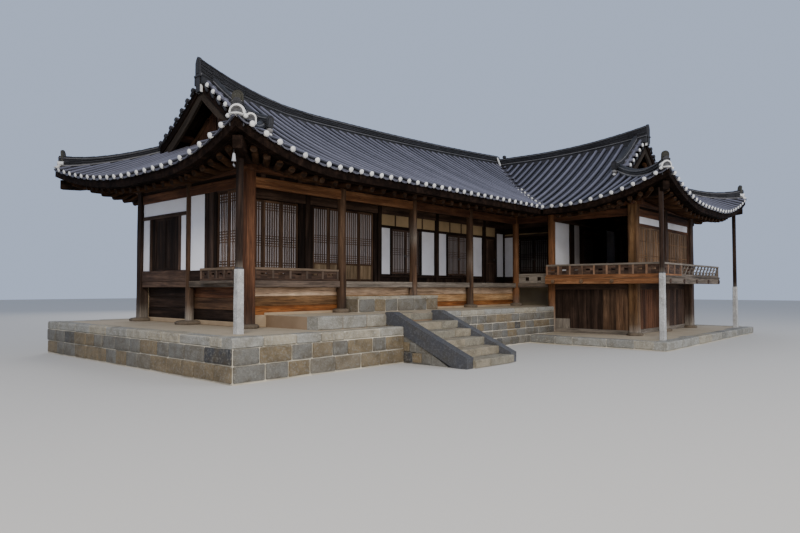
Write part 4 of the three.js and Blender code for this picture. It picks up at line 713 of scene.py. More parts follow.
def stack(piece, path, tops, half=0.115, base=0.05, spacing=0.29, foot=0.05):
    """A ridge along a path on the roof: plaster bed, thin courses with dark joints, and round top tiles."""
    stations = along_path(path, spacing, tops)
    line, height = stations[:, :3], stations[:, 3]
    level = np.zeros_like(height)
    count = len(line) - 1
    cover, cover_radius = 0.068, 0.074

    def course(k, low, high, wide, material, round_edge, gap=0.0):
        """One tile from station k to the next, between two heights over the line."""
        ahead = unit(line[k + 1] - line[k])
        rings = []
        for n, shift in ((k, gap), (k + 1, -gap)):
            side = side_of(line, n)
            centre = line[n] + ahead * shift
            a, b = low[n], high[n]
            c = (b - a) * round_edge
            rings.append([centre + side * u + UP * v for u, v in (
                (-wide, a + c), (c - wide, a), (wide - c, a), (wide, a + c),
                (wide, b - c), (wide - c, b), (c - wide, b), (-wide, b - c))])
        piece.loft(rings, material)

    for k in range(count):
        course(k, level - 0.14, level + (base - 0.02), half + foot, RIDGE_TILE, 0.1)
        course(k, level + (base - 0.03), level + (base + 0.012), half + foot + 0.012, RIDGE_TILE, 0.45, 0.002)
        course(k, level + (base + 0.002), level + (base + 0.034), half + 0.01, OLD_LIME, 0.3)
        course(k, level + (base + 0.03), height - cover, half - 0.028, RIDGE_TILE, 0.0)
        room = min(height[k], height[k + 1]) - cover - base - 0.062
        courses = max(1, int(room / THIN_COURSE))
        deep = room / courses
        for j in range(courses):
            wide = half - 0.006 * (j % 2) + random.uniform(-0.004, 0.004)
            course(k, height - cover - (j + 1) * deep + 0.008, height - cover - j * deep, wide, RIDGE_TILE, 0.3, 0.002)
        course(k, height - (cover + 0.002), height - (cover - 0.010), half - 0.022, OLD_LIME, 0.2)
    for k in range(count):
        ahead = unit(line[k + 1] - line[k])
        piece.loft([arc_ring(line[n] + UP * (height[n] - cover_radius) + ahead * shift, radius, side_of(line, n), UP)
                    for n, radius, shift in ((k, cover_radius, -0.004), (k + 1, 0.068, 0.006))],
                   RIDGE_TILE, smooth=True)


def arch_tile(piece, place, facing, width, height, lean=0.2, rim=True, material=RIDGE_TILE):
    """An upright end tile with a round head, facing outwards and leaning back, in a plaster rim."""
    facing = np.array((*facing, 0.0)) / np.linalg.norm(facing)
    side = left_of(facing)
    up = UP * math.cos(lean) + facing * math.sin(lean)
    out = facing * math.cos(lean) - UP * math.sin(lean)
    turns = np.linspace(0, math.pi, 13)
    straight = max(0.0, height - width / 2)
    plates = [(((-0.012, 0.012), (-0.004, 0.018), (-0.004, -0.02), (-0.01, -0.026)), material),
              (((-0.045, 0.018), (-0.035, 0.026), (-0.035, 0.0), (-0.04, -0.01)), material),
              (((0.0, 0.004), (0.026, -0.004), (0.030, -0.04), (0.0, -0.06)), LIME)]
    for shapes, stuff in plates if rim else plates[:2]:
        rings = []
        for grow, depth in shapes:
            reach = width / 2 + grow
            outline = [(math.cos(t) * reach, straight + math.sin(t) * reach) for t in turns]
            outline += [(-reach, -0.02), (reach, -0.02)]
            rings.append([np.array(place) + side * u + up * v + out * depth for u, v in outline])
        piece.loft(rings, stuff)


def lump(piece, place, size, material=LIME):
    """A rounded lump of plaster."""
    rings = []
    for t in np.linspace(-0.92, 0.92, 7):
        share = math.sqrt(1 - t * t)
        ring = []
        for a in circle(12):
            r = share * (1 + random.uniform(-0.07, 0.07))
            ring.append(place + np.array((size[0] * r * math.cos(a), size[1] * r * math.sin(a), size[2] * t)))
        rings.append(ring)
    piece.loft(rings, material, smooth=True)


def ridge_top_main(x):
    return RIDGE_TOP + 0.17 * max(0.0, (RIDGE_LOW_X - x) / RIDGE_LOW_X) ** 2


def ridge_top_wing(y):
    return RIDGE_TOP + 0.11 * max(0.0, y / (VERGE_Y - 0.06)) ** 2


def ridge_head(piece, place, facing, low, high):
    """The end of a main ridge: a dark pointed head over a narrow plate with a plaster edge."""
    facing = np.array((*facing, 0.0))
    side = left_of(facing)

    def plate(outline, back, front, material):
        piece.loft([[place + side * u + UP * v + facing * d for u, v in outline] for d in (back, front)], material)

    for wide, bottom, top, back, front, point in (
            (0.09, 0.06, high, -0.05, 0.025, 0.14), (0.055, 0.10, high - 0.05, 0.02, 0.035, 0.11),
            (0.115, 0.03, 0.065, -0.06, 0.04, 0.0), (0.07, low, 0.03, -0.05, 0.02, 0.0)):
        plate([(-wide, bottom), (wide, bottom), (wide, top - point), (wide * 0.55, top - point * 0.3), (0, top),
               (-wide * 0.55, top - point * 0.3), (-wide, top - point)], back, front, RIDGE_TILE)
    for middle in (-0.078, 0.078):
        plate([(middle - 0.012, low), (middle + 0.012, low), (middle + 0.012, 0.02), (middle - 0.012, 0.02)],
              -0.07, 0.0, LIME)


def main_ridge():
    piece = Piece("main_ridge")
    start_x, start_y = VERGE_X - 0.05, VERGE_Y - 0.06
    xs = [start_x, 0.6, 1.1, 1.7, 2.4, 3.2, 4, 5, 6, 7, 8, 9, 10, 11, RIDGE_X]
    ys = [start_y, -2.7, -2.2, -1.6, -1.1, -0.6, 0, 0.6, 1.2, 1.7, RIDGE_Y + 0.12]
    main_line = [(x, RIDGE_Y, front_z(x, RIDGE_Y)) for x in xs]
    wing_line = [(RIDGE_X, y, inner_z(RIDGE_X, y)) for y in ys]
    stack(piece, main_line, [ridge_top_main(x) for x in xs])
    stack(piece, wing_line, [ridge_top_wing(y) for y in ys])
    ridge_head(piece, main_line[0], (-1, 0), -0.30, ridge_top_main(start_x) + 0.01)
    ridge_head(piece, wing_line[0], (0, -1), -0.22, ridge_top_wing(start_y) + 0.01)
    joint = inner_z(RIDGE_X, RIDGE_Y - 0.2)
    for k in range(7):
        place = (RIDGE_X - 0.16 - 0.02 * k, RIDGE_Y - 0.12 - 0.03 * k, joint + 0.30 - 0.045 * k)
        lump(piece, place, (0.035, 0.035, 0.035))
    lump(piece, (RIDGE_X, RIDGE_Y - 0.3, joint + 0.35), (0.07, 0.07, 0.06), RIDGE_TILE)
    piece.make("ridge_tile", ["roof_ridge"])


main_ridge()

DESCENT_INSET = 0.28
DESCENT_X, DESCENT_Y = VERGE_X + DESCENT_INSET, VERGE_Y + DESCENT_INSET
DESCENT_PAST_HIP = 0.35
HIP_TOP = 0.26
DESCENT_TIP, HIP_TIP = 0.17, 0.08


def falling_ridge(piece, start, end, height, tip, stations):
    """A ridge down a slope, whose free end turns up."""
    shares = np.linspace(0, 1, stations)
    line = [(start[0] + (end[0] - start[0]) * t, start[1] + (end[1] - start[1]) * t) for t in shares]
    stack(piece, [(x, y, height(x, y)) for x, y in line], HIP_TOP + tip * shares ** 4, 0.10, spacing=0.27, foot=0.02)


def corner_tiles(piece, corner, step, cross):
    """The end of a hip ridge: a tall dark end tile over a hollow cover tile bedded in plaster."""
    outward = step[:2]
    arch_tile(piece, corner - step * 0.10 + (0, 0, 0.14), outward, 0.20, 0.335, 0.12, False, HEAD_TILE)
    arch_tile(piece, corner - step * 0.01 + (0, 0, 0.075), outward, 0.20, 0.125, 0.25, True, CHEEK_STONE)
    turns = np.linspace(0, math.pi, 9)
    hood = [[corner + cross * (0.135 * math.cos(t)) + (0, 0, 0.10 + 0.115 * math.sin(t)) + step * d for t in turns]
            for d in (-0.13, -0.02)]
    piece.loft(hood, LIME, smooth=True)
    lump(piece, corner + (0, 0, 0.05), (0.13, 0.13, 0.028))
    drip = [corner + step * 0.06 + cross * u + (0, 0, v) for u, v in ((-0.05, 0.04), (0.05, 0.04), (0, -0.05))]
    piece.loft([drip, [point - step * 0.02 for point in drip]], LIME)
    for side in (-1, 1):
        lump(piece, corner + cross * 0.135 * side - step * 0.02 + (0, 0, 0.035), (0.045, 0.045, 0.04))


def raised_tile(piece, slope, u):
    """A short cover tile that stands on the eave beside the corner, with a small end tile."""
    rings = []
    for run in (0.10, 0.42):
        _, across, out = slope.frame(u, run)
        eave = slope.point(u, run)
        side = across * SHORT_TILE_R
        rings.append(arc_ring(eave + out * 0.10, SHORT_TILE_R, across, out) + [eave - side, eave + side])
    piece.loft(rings, RIDGE_TILE)
    arch_tile(piece, slope.point(u, 0.085) + (0, 0, 0.085), (-0.45, -0.9), 0.135, 0.135, 0.15, True, CHEEK_STONE)


def corner_ridge(key, descent, hip, height, outward):
    """A descending ridge beside the verge and the hip ridge that runs on to the roof's corner."""
    piece = Piece("ridge_tiles_" + key)
    if descent:
        start, (x, y) = descent
        falling_ridge(piece, start, (x, y), height, DESCENT_TIP, 9)
        ahead = np.array((np.sign(x - start[0]), np.sign(y - start[1]), 0.0))
        end = np.array((x, y, height(x, y)))
        arch_tile(piece, end + ahead * 0.01 + (0, 0, 0.21), ahead[:2], 0.17, 0.22, 0.15, False)
        lump(piece, end + ahead * 0.02 + (0, 0, 0.12), (0.07, 0.07, 0.055), OLD_LIME)
        lump(piece, end + ahead * 0.03 + (0, 0, 0.035), (0.05, 0.05, 0.035))
    start, (x, y) = hip
    falling_ridge(piece, start, (x, y), height, HIP_TIP, 11)
    step = np.array((*outward, 0.0)) / np.linalg.norm(outward)
    corner_tiles(piece, np.array((x, y, height(x, y))), step, left_of(step))
    if key == "left_front":
        raised_tile(piece, SLOPES["front"], -1.03)
    piece.make("ridge_tile", ["ridge_" + key])


def corner_ridges():
    inset, overlap, beside = 0.07, 0.04, 0.13
    past = DESCENT_PAST_HIP
    eave_left, eave_right, wing_left = EAVE_LEFT + inset, EAVE_RIGHT - inset, EAVE_WING + inset
    eave_back, eave_wing_front = EAVE_BACK - inset, EAVE_WING_FRONT + inset
    low_front, low_back = EAVE_FRONT + LEFT_HIP_RUN, EAVE_BACK - LEFT_HIP_RUN
    left, right = EAVE_WING + WING_HIP_RUN, EAVE_RIGHT - WING_HIP_RUN
    for key, descent, hip, height, outward in (
            ("left_front", ((DESCENT_X, RIDGE_Y - beside), (DESCENT_X, low_front - past)),
             ((GABLE_X - overlap, low_front - overlap), (eave_left, EAVE_FRONT + inset)), front_z, (-1, -1)),
            ("left_back", ((DESCENT_X, RIDGE_Y + beside), (DESCENT_X, low_back + past)),
             ((GABLE_X - overlap, low_back + overlap), (eave_left, eave_back)), back_z, (-1, 1)),
            ("wing_left", ((RIDGE_X - beside, DESCENT_Y), (left - past, DESCENT_Y)),
             ((left - overlap, GABLE_Y - overlap), (wing_left, eave_wing_front)), inner_z, (-1, -1)),
            ("wing_right", ((RIDGE_X + beside, DESCENT_Y), (right + past, DESCENT_Y)),
             ((right + overlap, GABLE_Y - overlap), (eave_right, eave_wing_front)), outer_z, (1, -1)),
            ("back_right", None,
             ((RIDGE_X - 0.02, EAVE_BACK - EAVE_RIGHT + RIDGE_X - 0.02), (eave_right, eave_back)), outer_z, (1, 1))):
        corner_ridge(key, descent, hip, height, outward)


corner_ridges()


# Valley between the two wings: gutter tiles down the fold


def valley():
    piece = Piece("valley_gutter")
    path = along_path([(EAVE_WING + t, EAVE_FRONT + t, inner_z(EAVE_WING + t, EAVE_FRONT + t))
                       for t in np.linspace(-0.02, WING_RUN - 0.1, 14)], 0.16)
    shape = [(-0.13, 0.075), (-0.07, 0.02), (0.07, 0.02), (0.13, 0.075), (0.13, -0.03), (-0.13, -0.03)]
    for k in range(len(path) - 1):
        rings = []
        for n, lift in ((k, 0.045), (k + 1, 0.025)):
            side = side_of(path, n)
            rings.append([path[n] + side * a + UP * (b + (lift if b > 0 else 0)) for a, b in shape])
        piece.loft(rings, TILE)
    piece.make("roof_tile")


valley()


# Verges and gables


def verge_row(piece, slope, u_edge, u_in, run, stop):
    """A short cover tile across the verge with its round plaster end."""
    ahead, _, out = slope.frame(u_edge, run)
    outward = unit(slope.point(u_edge, run) - slope.point(u_in, run))
    rings = [arc_ring(slope.point(u, run) + out * 0.05, SHORT_TILE_R, ahead, out) for u in (u_in, u_edge)]
    piece.loft(rings, TILE, smooth=True)
    centre = slope.point(u_edge, run) + out * 0.05
    profile = (-0.03, 0.9), (0.006, 1.0), (0.02, 0.7), (0.026, 0.3)
    round_stop(piece, centre, outward, (ahead, out), 0.055, 0.06, profile, stop)
    lip = [centre + outward * d - out * 0.035 for d in (-0.02, 0.02)]
    piece.loft([[p + ahead * a + out * b for a, b in ((0.05, 0.0), (-0.11, -0.03), (-0.12, -0.07), (0.05, -0.03))]
                for p in lip], RIDGE_TILE)


def verge_tiles():
    for name, slope_names, edge, inside, bottom, top in (
            ("left", ("front", "back"), VERGE_X - 0.03, DESCENT_X - 0.08, LEFT_HIP_RUN, ROOF_RUN),
            ("wing", ("inner", "outer"), VERGE_Y - 0.03, DESCENT_Y - 0.08, WING_HIP_RUN, WING_RUN)):
        piece = Piece("verge_tiles_" + name)
        for slope_name, stop in zip(slope_names, (LIME, RIDGE_TILE)):
            for run in np.arange(bottom + 0.06, top - 0.1, 0.235):
                verge_row(piece, SLOPES[slope_name], edge, inside, run, stop)
        piece.make("roof_tile")


verge_tiles()


def gable(name, slopes, board_at, wall_at, top, bottom, axis):
    """Boards that edge the verge, and the planked wall behind them. axis is the one that crosses the gable."""
    piece = Piece("gable_boards_" + name)

    def moved(p, at, z):
        """A point of the slope brought to a place across the gable, and raised by z."""
        point = p + UP * z
        point[axis] = at
        return point

    for slope in slopes:
        verge = [slope.point(board_at, run) for run in np.linspace(bottom - 0.02, top, 9)]
        for d0, d1, high, low, look in ((-0.03, 0.03, -0.13, -0.42, {"worn": 0.1}), (-0.045, -0.03, -0.13, -0.20, {})):
            corners = (d0, high), (d1, high), (d1, low), (d0, low)
            # The verge boards are near-black as painted shade.
            piece.loft([[moved(p, board_at + d, z) for d, z in corners] for p in verge], SHADE_WOOD, **look)
    plank, pitch = 0.186, 0.19
    for slope in slopes:
        foot = slope.point(wall_at, bottom)[2] - 0.25
        for a in np.arange(bottom + 0.02, top - 0.02, pitch):
            pa, pb = slope.point(wall_at, a), slope.point(wall_at, min(a + plank, top))
            head = np.array([moved(p, wall_at + d, -0.16) for p, d in ((pa, 0), (pb, 0), (pb, 0.06), (pa, 0.06))])
            low = head.copy()
            low[:, 2] = foot
            piece.loft([low, head], GABLE_WOOD)
    first, second = slopes
    for slope, run, drop in ((first, top, 0.33), (first, top - 1.02, 0.31), (second, top - 1.02, 0.31)):
        p = slope.point(board_at, run)
        piece.pole([moved(p, board_at - 0.02, -drop), moved(p, wall_at + 0.04, -drop)], 0.085, GABLE_WOOD)
    a, b = first.point(wall_at, bottom), second.point(wall_at, bottom)
    sill = [(a[0] - 0.05, b[0] + 0.05), (a[1] - 0.05, b[1] + 0.05)]
    sill[axis] = a[axis] - 0.05, a[axis] + 0.02
    piece.box(*sill[0], *sill[1], a[2] - 0.12, a[2] + 0.02, GABLE_WOOD, axis=1 - axis)
    piece.make("dark_timber", ["gable_" + name])


gable("left", (SLOPES["front"], SLOPES["back"]), VERGE_X + 0.06, GABLE_X, ROOF_RUN, LEFT_HIP_RUN, 0)
gable("wing", (SLOPES["inner"], SLOPES["outer"]), VERGE_Y + 0.06, GABLE_Y, WING_RUN, WING_HIP_RUN, 1)


# Rafters under the eaves

RAFTER_DROP = 0.30
SOFFIT_GAP = 0.05


def soffit(slope, u, run):
    return slope.point(u, run, -thickness(run) - SOFFIT_GAP)


def rafter(piece, path, radii, end_radius):
    """A round rafter with its sawn end."""
    # Rafters and their ends are darkened as painted shade.
    piece.pole(path, radii, RAFTER_WOOD, 8)
    ahead = unit(np.array(path[1]) - path[0])
    piece.pole([path[0] - ahead * 0.004, path[0] + ahead * 0.01], end_radius, RAFTER_END, 8)


def straight_rafters(piece, slope, places, runs):
    for u in places:
        top = slope.stretches(u)[-1][1] - 0.3
        inside = [run for run in runs if run < top] + [top] * int(top < runs[-1])
        path = [soffit(slope, u + random.uniform(-0.01, 0.01), run) for run in inside]
        path[0] = slope.point(u, runs[0], -RAFTER_DROP)
        rafter(piece, path, random.uniform(0.062, 0.072), 0.062)


def fan_rafters(piece, corner, inside, slope_x, slope_y):
    """Rafters that spread from the corner column to both eaves of a corner, thinner towards the column."""
    taper = [0.066, 0.066, 0.064, 0.06, 0.055, 0.05]
    (cx, cy), (ix, iy) = corner, inside
    sx, sy = np.sign(ix - cx), np.sign(iy - cy)
    for slope, along_x in ((slope_x, True), (slope_y, False)):
        for t in np.arange(0.22, 1.85, 0.27):
            outer = slope.point(cx + sx * t if along_x else cy + sy * t, 0.2, -RAFTER_DROP)
            path = [outer]
            for share in np.linspace(0, 1, len(taper))[1:]:
                x, y = outer[0] + (ix - outer[0]) * share * 0.94, outer[1] + (iy - outer[1]) * share * 0.94
                path.append((x, y, slope.height(x, y) - thickness(slope.run_of(x, y)) - SOFFIT_GAP))
            rafter(piece, path, taper, 0.06)


def hip_rafter(piece, corner, inside, height):
    """The heavy corner rafter on the diagonal."""
    (cx, cy), (ix, iy) = corner, inside
    side = left_of(np.array((ix - cx, iy - cy)) / math.hypot(ix - cx, iy - cy))
    rings = []
    for share in np.linspace(0.06, 1.0, 7):
        x, y = cx + (ix - cx) * share, cy + (iy - cy) * share
        centre = np.array((x, y, height(x, y) - 0.36 - 0.02))
        tall = 0.10 if rings else 0.07
        rings.append([centre + side * a + UP * b for a, b in (
            (-0.08, -tall), (-0.065, -tall - 0.02), (0.065, -tall - 0.02), (0.08, -tall), (0.08, 0.12), (-0.08, 0.12))])
    # Near-black as painted shade under the corner of the roof.
    piece.loft(rings, SHADE_WOOD)


def eave_board(piece, slope, low, high):
    """A long strip of wood under the edge of the tiles, between two corners of the eave."""
    run, drop, height, inset = 0.12, 0.17, 0.07, 0.12
    low, high = low + inset, high - inset
    rings = []
    for u in np.linspace(low, high, max(2, round((high - low) / 0.5)) + 1):
        p, q = slope.point(u, run, -drop), slope.point(u, run + 0.07, -drop)
        rings.append([p, p - (0, 0, height), q - (0, 0, height), q])
    # Near-black as painted shade under the eave.
    piece.loft(rings, SHADE_WOOD)


def rafters():
    main_runs = (0.2, 0.6, 1.2, 1.75, 2.4, 3.0, 3.6)
    short_runs = main_runs[:4]
    spacing = 0.33
    for name, rows, corners, boards in (
            ("main",
             (("front", 0.62, EAVE_WING - 0.1, main_runs), ("back", 0.62, RIGHT_X - 0.5, main_runs),
              ("left", 0.42, EAVE_BACK - 1.9, short_runs)),
             (((EAVE_LEFT, EAVE_FRONT), (0.45, 0.15), "front", "left"),
              ((EAVE_LEFT, EAVE_BACK), (0.45, BACK_Y - 0.15), "back", "left"),
              ((EAVE_RIGHT, EAVE_BACK), (RIGHT_X - 0.3, BACK_Y - 0.3), "back", "outer")),
             (("front", EAVE_LEFT, EAVE_WING), ("back", EAVE_LEFT, EAVE_RIGHT), ("left", EAVE_FRONT, EAVE_BACK))),
            ("wing",
             (("inner", -3.3, EAVE_FRONT - 0.1, main_runs), ("outer", -3.3, BACK_Y - 0.4, main_runs),
              ("wing_front", EAVE_WING + 1.95, EAVE_RIGHT - 1.9, short_runs)),
             (((EAVE_WING, EAVE_WING_FRONT), (WING_X + 0.3, WING_FRONT_Y + 0.3), "wing_front", "inner"),
              ((EAVE_RIGHT, EAVE_WING_FRONT), (RIGHT_X - 0.3, WING_FRONT_Y + 0.3), "wing_front", "outer")),
             (("inner", EAVE_WING_FRONT, EAVE_FRONT), ("outer", EAVE_WING_FRONT, EAVE_BACK),
              ("wing_front", EAVE_WING, EAVE_RIGHT)))):
        piece = Piece("rafters_" + name)
        for key, first, last, runs in rows:
            straight_rafters(piece, SLOPES[key], np.arange(first, last, spacing), runs)
        for corner, inside, x_key, y_key in corners:
            fan_rafters(piece, corner, inside, SLOPES[x_key], SLOPES[y_key])
            hip_rafter(piece, corner, inside, SLOPES[x_key].height)
        for key, low, high in boards:
            eave_board(piece, SLOPES[key], low, high)
        piece.make("timber")


rafters()


# Stone platforms: squared blocks in courses, set proud of the mortar, with flat stones along the top edge

LOWER_X, LOWER_Y = -1.607, -1.918
TERRACE_X, TERRACE_Y, TERRACE_RIGHT_X, NOTCH_Y = 0.5, -1.45, 9.3, -0.9
PLATFORM_X, PLATFORM_RIGHT_X, PLATFORM_Y = 7.95, 15.95, -5.045
BACK_EDGE_Y, RIGHT_EDGE_X = 5.44, 15.4
STAIR_X0, STAIR_X1 = 2.3, 3.97
LOWER_CAP, UPPER_CAP = 0.155, 0.12
OVER = 0.018
TO_FRONT, TO_BACK, TO_LEFT, TO_RIGHT = (0, -1), (0, 1), (-1, 0), (1, 0)


def block(piece, corner, across, out, width, height, proud=0.02):
    """A stone with a rough face and rounded arrises. corner is its lower left corner on the wall's face."""
    corner, across, out = (np.array(v, float) for v in (corner, across, out))
    soft = min(width, height) * 0.055
    right, top = width - soft, height - soft
    places = [(soft, 0), (width / 2, 0), (right, 0), (width, soft), (width, height / 2), (width, top),
              (right, height), (width / 2, height), (soft, height), (0, top), (0, height / 2), (0, soft)]
    count = len(places)
    places = np.array(places) + random.uniform(-0.004, 0.004, (count, 2))
    centre = np.array((width / 2, height / 2))
    rings = []
    for depth, grow in ((-0.05, 1.0), (0.45, 1.0), (0.85, 0.975), (1.0, 0.93), (1.15, 0.5)):
        flat = centre + (places - centre) * grow
        push = proud * depth + (random.uniform(-0.003, 0.003, count) if depth > 0.5 else np.zeros(count))
        rings.append([corner + across * u + UP * v + out * p for (u, v), p in zip(flat, push)])
    piece.loft(rings, STONE, tone=random.uniform(0, 1), smooth=True)


def wall_line(start, end, length, spread, least):
    """The stones of one course: the start of the wall, its direction, and where each stone begins and its size."""
    start, end = np.array((*start, 0.0)), np.array((*end, 0.0))
    total = np.linalg.norm(end - start)
    across = (end - start) / total
    at = 0.0
    while at < total - 0.02:
        size = length * random.uniform(*spread)
        if total - at - size < least:
            size = total - at
        yield start, across, at, size
        at += size


def courses(piece, start, end, out, low, high, rows, length=0.42):
    """Courses of blocks along a straight wall face from start to end."""
    joint = 0.019
    levels = np.linspace(low, high, rows + 1)
    levels[1:-1] += random.uniform(-0.012, 0.012, max(0, rows - 1))
    for z0, z1 in pairs(levels):
        for origin, across, at, size in wall_line(start, end, length, (0.7, 1.3), 0.25):
            corner = origin + across * (at + joint / 2) + UP * (z0 + joint / 2)
            block(piece, corner, across, (*out, 0), size - joint, z1 - z0 - joint, random.uniform(0.014, 0.028))


def kerb(piece, start, end, out, top, height, length=0.72, depth=0.34, spread=0.3):
    """Long flat stones along the top edge of a platform, a little proud of the wall and of the earth."""
    outward = np.array((*out, 0.0))
    joint, soft = 0.012, 0.02
    for origin, across, at, size in wall_line(start, end, length, (0.65, 1.4), 0.3):
        a, b = at + joint / 2, at + size - joint / 2
        over, lift = random.uniform(0.012, 0.026), random.uniform(0.003, 0.012)
        inside = depth * random.uniform(0.8, 1.1)
        rings = []
        for u, trim in ((a, soft), (a + soft, 0), ((a + b) / 2, 0), (b - soft, 0), (b, soft)):
            jog = random.uniform(-0.004, 0.004, 2)
            shape = [(over - soft - trim, -height), (over - trim * 0.6, -height + soft + jog[0]),
                     (over - trim * 0.5, lift - 0.03 + jog[1]), (over - soft - trim, lift - trim * 0.4),
                     (-inside / 2, lift + 0.002 - trim * 0.4), (-inside + trim, lift - 0.006),
                     (-inside + trim, -height)]
            rings.append([origin + across * u + outward * d + UP * (top + v) for d, v in shape])
        piece.loft(rings, CAP_STONE, tone=random.uniform(spread, 1))


def ground_mix(name, dark_side, pale_side):
    """Mortar or clay on the sides of a platform and trodden earth on its top."""
    s = Shader("earth_" + name)
    plaster_into(s, (0.42, 0.345, 0.245), (0.32, 0.255, 0.175), depth=0.006)
    earth = s.bsdf.inputs["Base Color"].links[0].from_socket
    normal = s.node("ShaderNodeNewGeometry", out=1)
    flat = s.ramp(s.node("ShaderNodeSeparateXYZ", normal, out=2), (0.4, 0.0), (0.6, 1.0))
    side = s.ramp(s.noise(s.position(), 1.1, 4.0), (0.35, dark_side), (0.65, pale_side))
    s.put(s.bsdf.inputs["Base Color"], s.mix(flat, side, earth))
    for slot in bpy.data.objects[name].material_slots:
        slot.material = s.material


def masonry(name, walls, kerbs, backing=None):
    """A piece of courses and kerbs, each given by its start, its end, its outward side and its sizes."""
    piece = Piece(name)
    if backing:
        piece.box(*backing, MORTAR, chamfer=0, tone=0.5)
    for wall in walls:
        courses(piece, *wall)
    for row in kerbs:
        kerb(piece, *row)
    piece.make("stone")


def platforms():
    clay_side, mortar_side = ((0.19, 0.125, 0.072), (0.27, 0.19, 0.12)), ((0.42, 0.37, 0.28), (0.60, 0.54, 0.43))
    for name, side in (("upper_terrace", clay_side), ("lower_terrace", mortar_side), ("wing_platform", mortar_side)):
        ground_mix(name, *side)
    foot = 0.02
    low_top, high_top = LOWER_Z - LOWER_CAP, UPPER_Z - UPPER_CAP
    notch, right_back = (RIGHT_EDGE_X, NOTCH_Y), (RIGHT_EDGE_X, BACK_EDGE_Y)
    terrace_back = (TERRACE_X, BACK_EDGE_Y)
    masonry("masonry_lower_terrace", (
        ((LOWER_X, LOWER_Y), (STAIR_X0, LOWER_Y), TO_FRONT, foot, low_top, 2, 0.5),
        ((LOWER_X, BACK_EDGE_Y), (LOWER_X, LOWER_Y), TO_LEFT, foot, low_top, 2, 0.5),
        (terrace_back, (LOWER_X, BACK_EDGE_Y), TO_BACK, foot, low_top, 2, 0.44)), (
        ((LOWER_X - OVER, LOWER_Y), (STAIR_X0, LOWER_Y), TO_FRONT, LOWER_Z, LOWER_CAP),
        ((LOWER_X, BACK_EDGE_Y + OVER), (LOWER_X, LOWER_Y + 0.268), TO_LEFT, LOWER_Z, LOWER_CAP),
        (terrace_back, (LOWER_X + 0.3, BACK_EDGE_Y), TO_BACK, LOWER_Z, LOWER_CAP)))
    masonry("masonry_upper_terrace", (
        ((STAIR_X1, TERRACE_Y), (TERRACE_RIGHT_X, TERRACE_Y), TO_FRONT, foot, high_top, 4, 0.36),
        ((TERRACE_RIGHT_X, TERRACE_Y), (TERRACE_RIGHT_X, NOTCH_Y), TO_RIGHT, PLATFORM_Z, high_top, 3, 0.36),
        ((TERRACE_RIGHT_X, NOTCH_Y), notch, TO_FRONT, PLATFORM_Z, high_top, 3),
        (notch, right_back, TO_RIGHT, foot, high_top, 4),
        (right_back, terrace_back, TO_BACK, foot, high_top, 4)), (
        ((TERRACE_X - OVER, TERRACE_Y), (STAIR_X0, TERRACE_Y), TO_FRONT, UPPER_Z, UPPER_Z - LOWER_Z, 0.95),
        ((STAIR_X1, TERRACE_Y), (TERRACE_RIGHT_X + OVER, TERRACE_Y), TO_FRONT, UPPER_Z, UPPER_CAP),
        (notch, right_back, TO_RIGHT, UPPER_Z, UPPER_CAP),
        ((RIGHT_EDGE_X - 0.3, BACK_EDGE_Y), terrace_back, TO_BACK, UPPER_Z, UPPER_CAP),
        ((RIGHT_X + 0.15, NOTCH_Y), (RIGHT_EDGE_X - 0.3, NOTCH_Y), TO_FRONT, UPPER_Z, UPPER_CAP)),
        (STAIR_X1, TERRACE_RIGHT_X, TERRACE_Y - 0.006, TERRACE_Y + 0.02, 0.0, high_top))
    height = PLATFORM_Z - 0.02
    masonry("kerb_wing_platform", (), [(*row[:3], PLATFORM_Z, height, *row[3:], 0) for row in (
        ((PLATFORM_X - OVER, PLATFORM_Y), (PLATFORM_RIGHT_X + OVER, PLATFORM_Y), TO_FRONT, 0.8, 0.36),
        ((PLATFORM_X, TERRACE_Y - 0.02), (PLATFORM_X, PLATFORM_Y + 0.285), TO_LEFT, 0.7, 0.36),
        ((PLATFORM_RIGHT_X, PLATFORM_Y + 0.3), (PLATFORM_RIGHT_X, NOTCH_Y), TO_RIGHT, 0.7, 0.36),
        ((PLATFORM_RIGHT_X - 0.3, NOTCH_Y), notch, TO_BACK, 0.5, 0.3))])


platforms()


def slab(piece, x0, x1, y0, y1, z0, z1, material, tone=None):
    """A dressed stone slab with worn edges."""
    soft = 0.018
    rings = []
    for z, inset in ((z0, 0.004), (z1 - soft, 0.0), (z1 - soft * 0.35, soft * 0.3), (z1, soft)):
        xs = np.linspace(x0 + inset, x1 - inset, 5)
        front = [(x, y0 + inset + random.uniform(-0.005, 0.005)) for x in xs]
        back = [(x, y1 - inset) for x in xs[::-1]]
        rings.append([(x, y, z + (random.uniform(-0.003, 0.002) if z == z1 else 0)) for x, y in front + back])
    piece.loft(rings, material, tone=tone)


STAIR_RISERS, TREAD, CHEEK, CHEEK_DEPTH = 6, 0.34, 0.18, 0.16
STAIR_FOOT_Y = TERRACE_Y - STAIR_RISERS * TREAD + 0.06
CHEEK_FOOT_Y = STAIR_FOOT_Y + 0.42


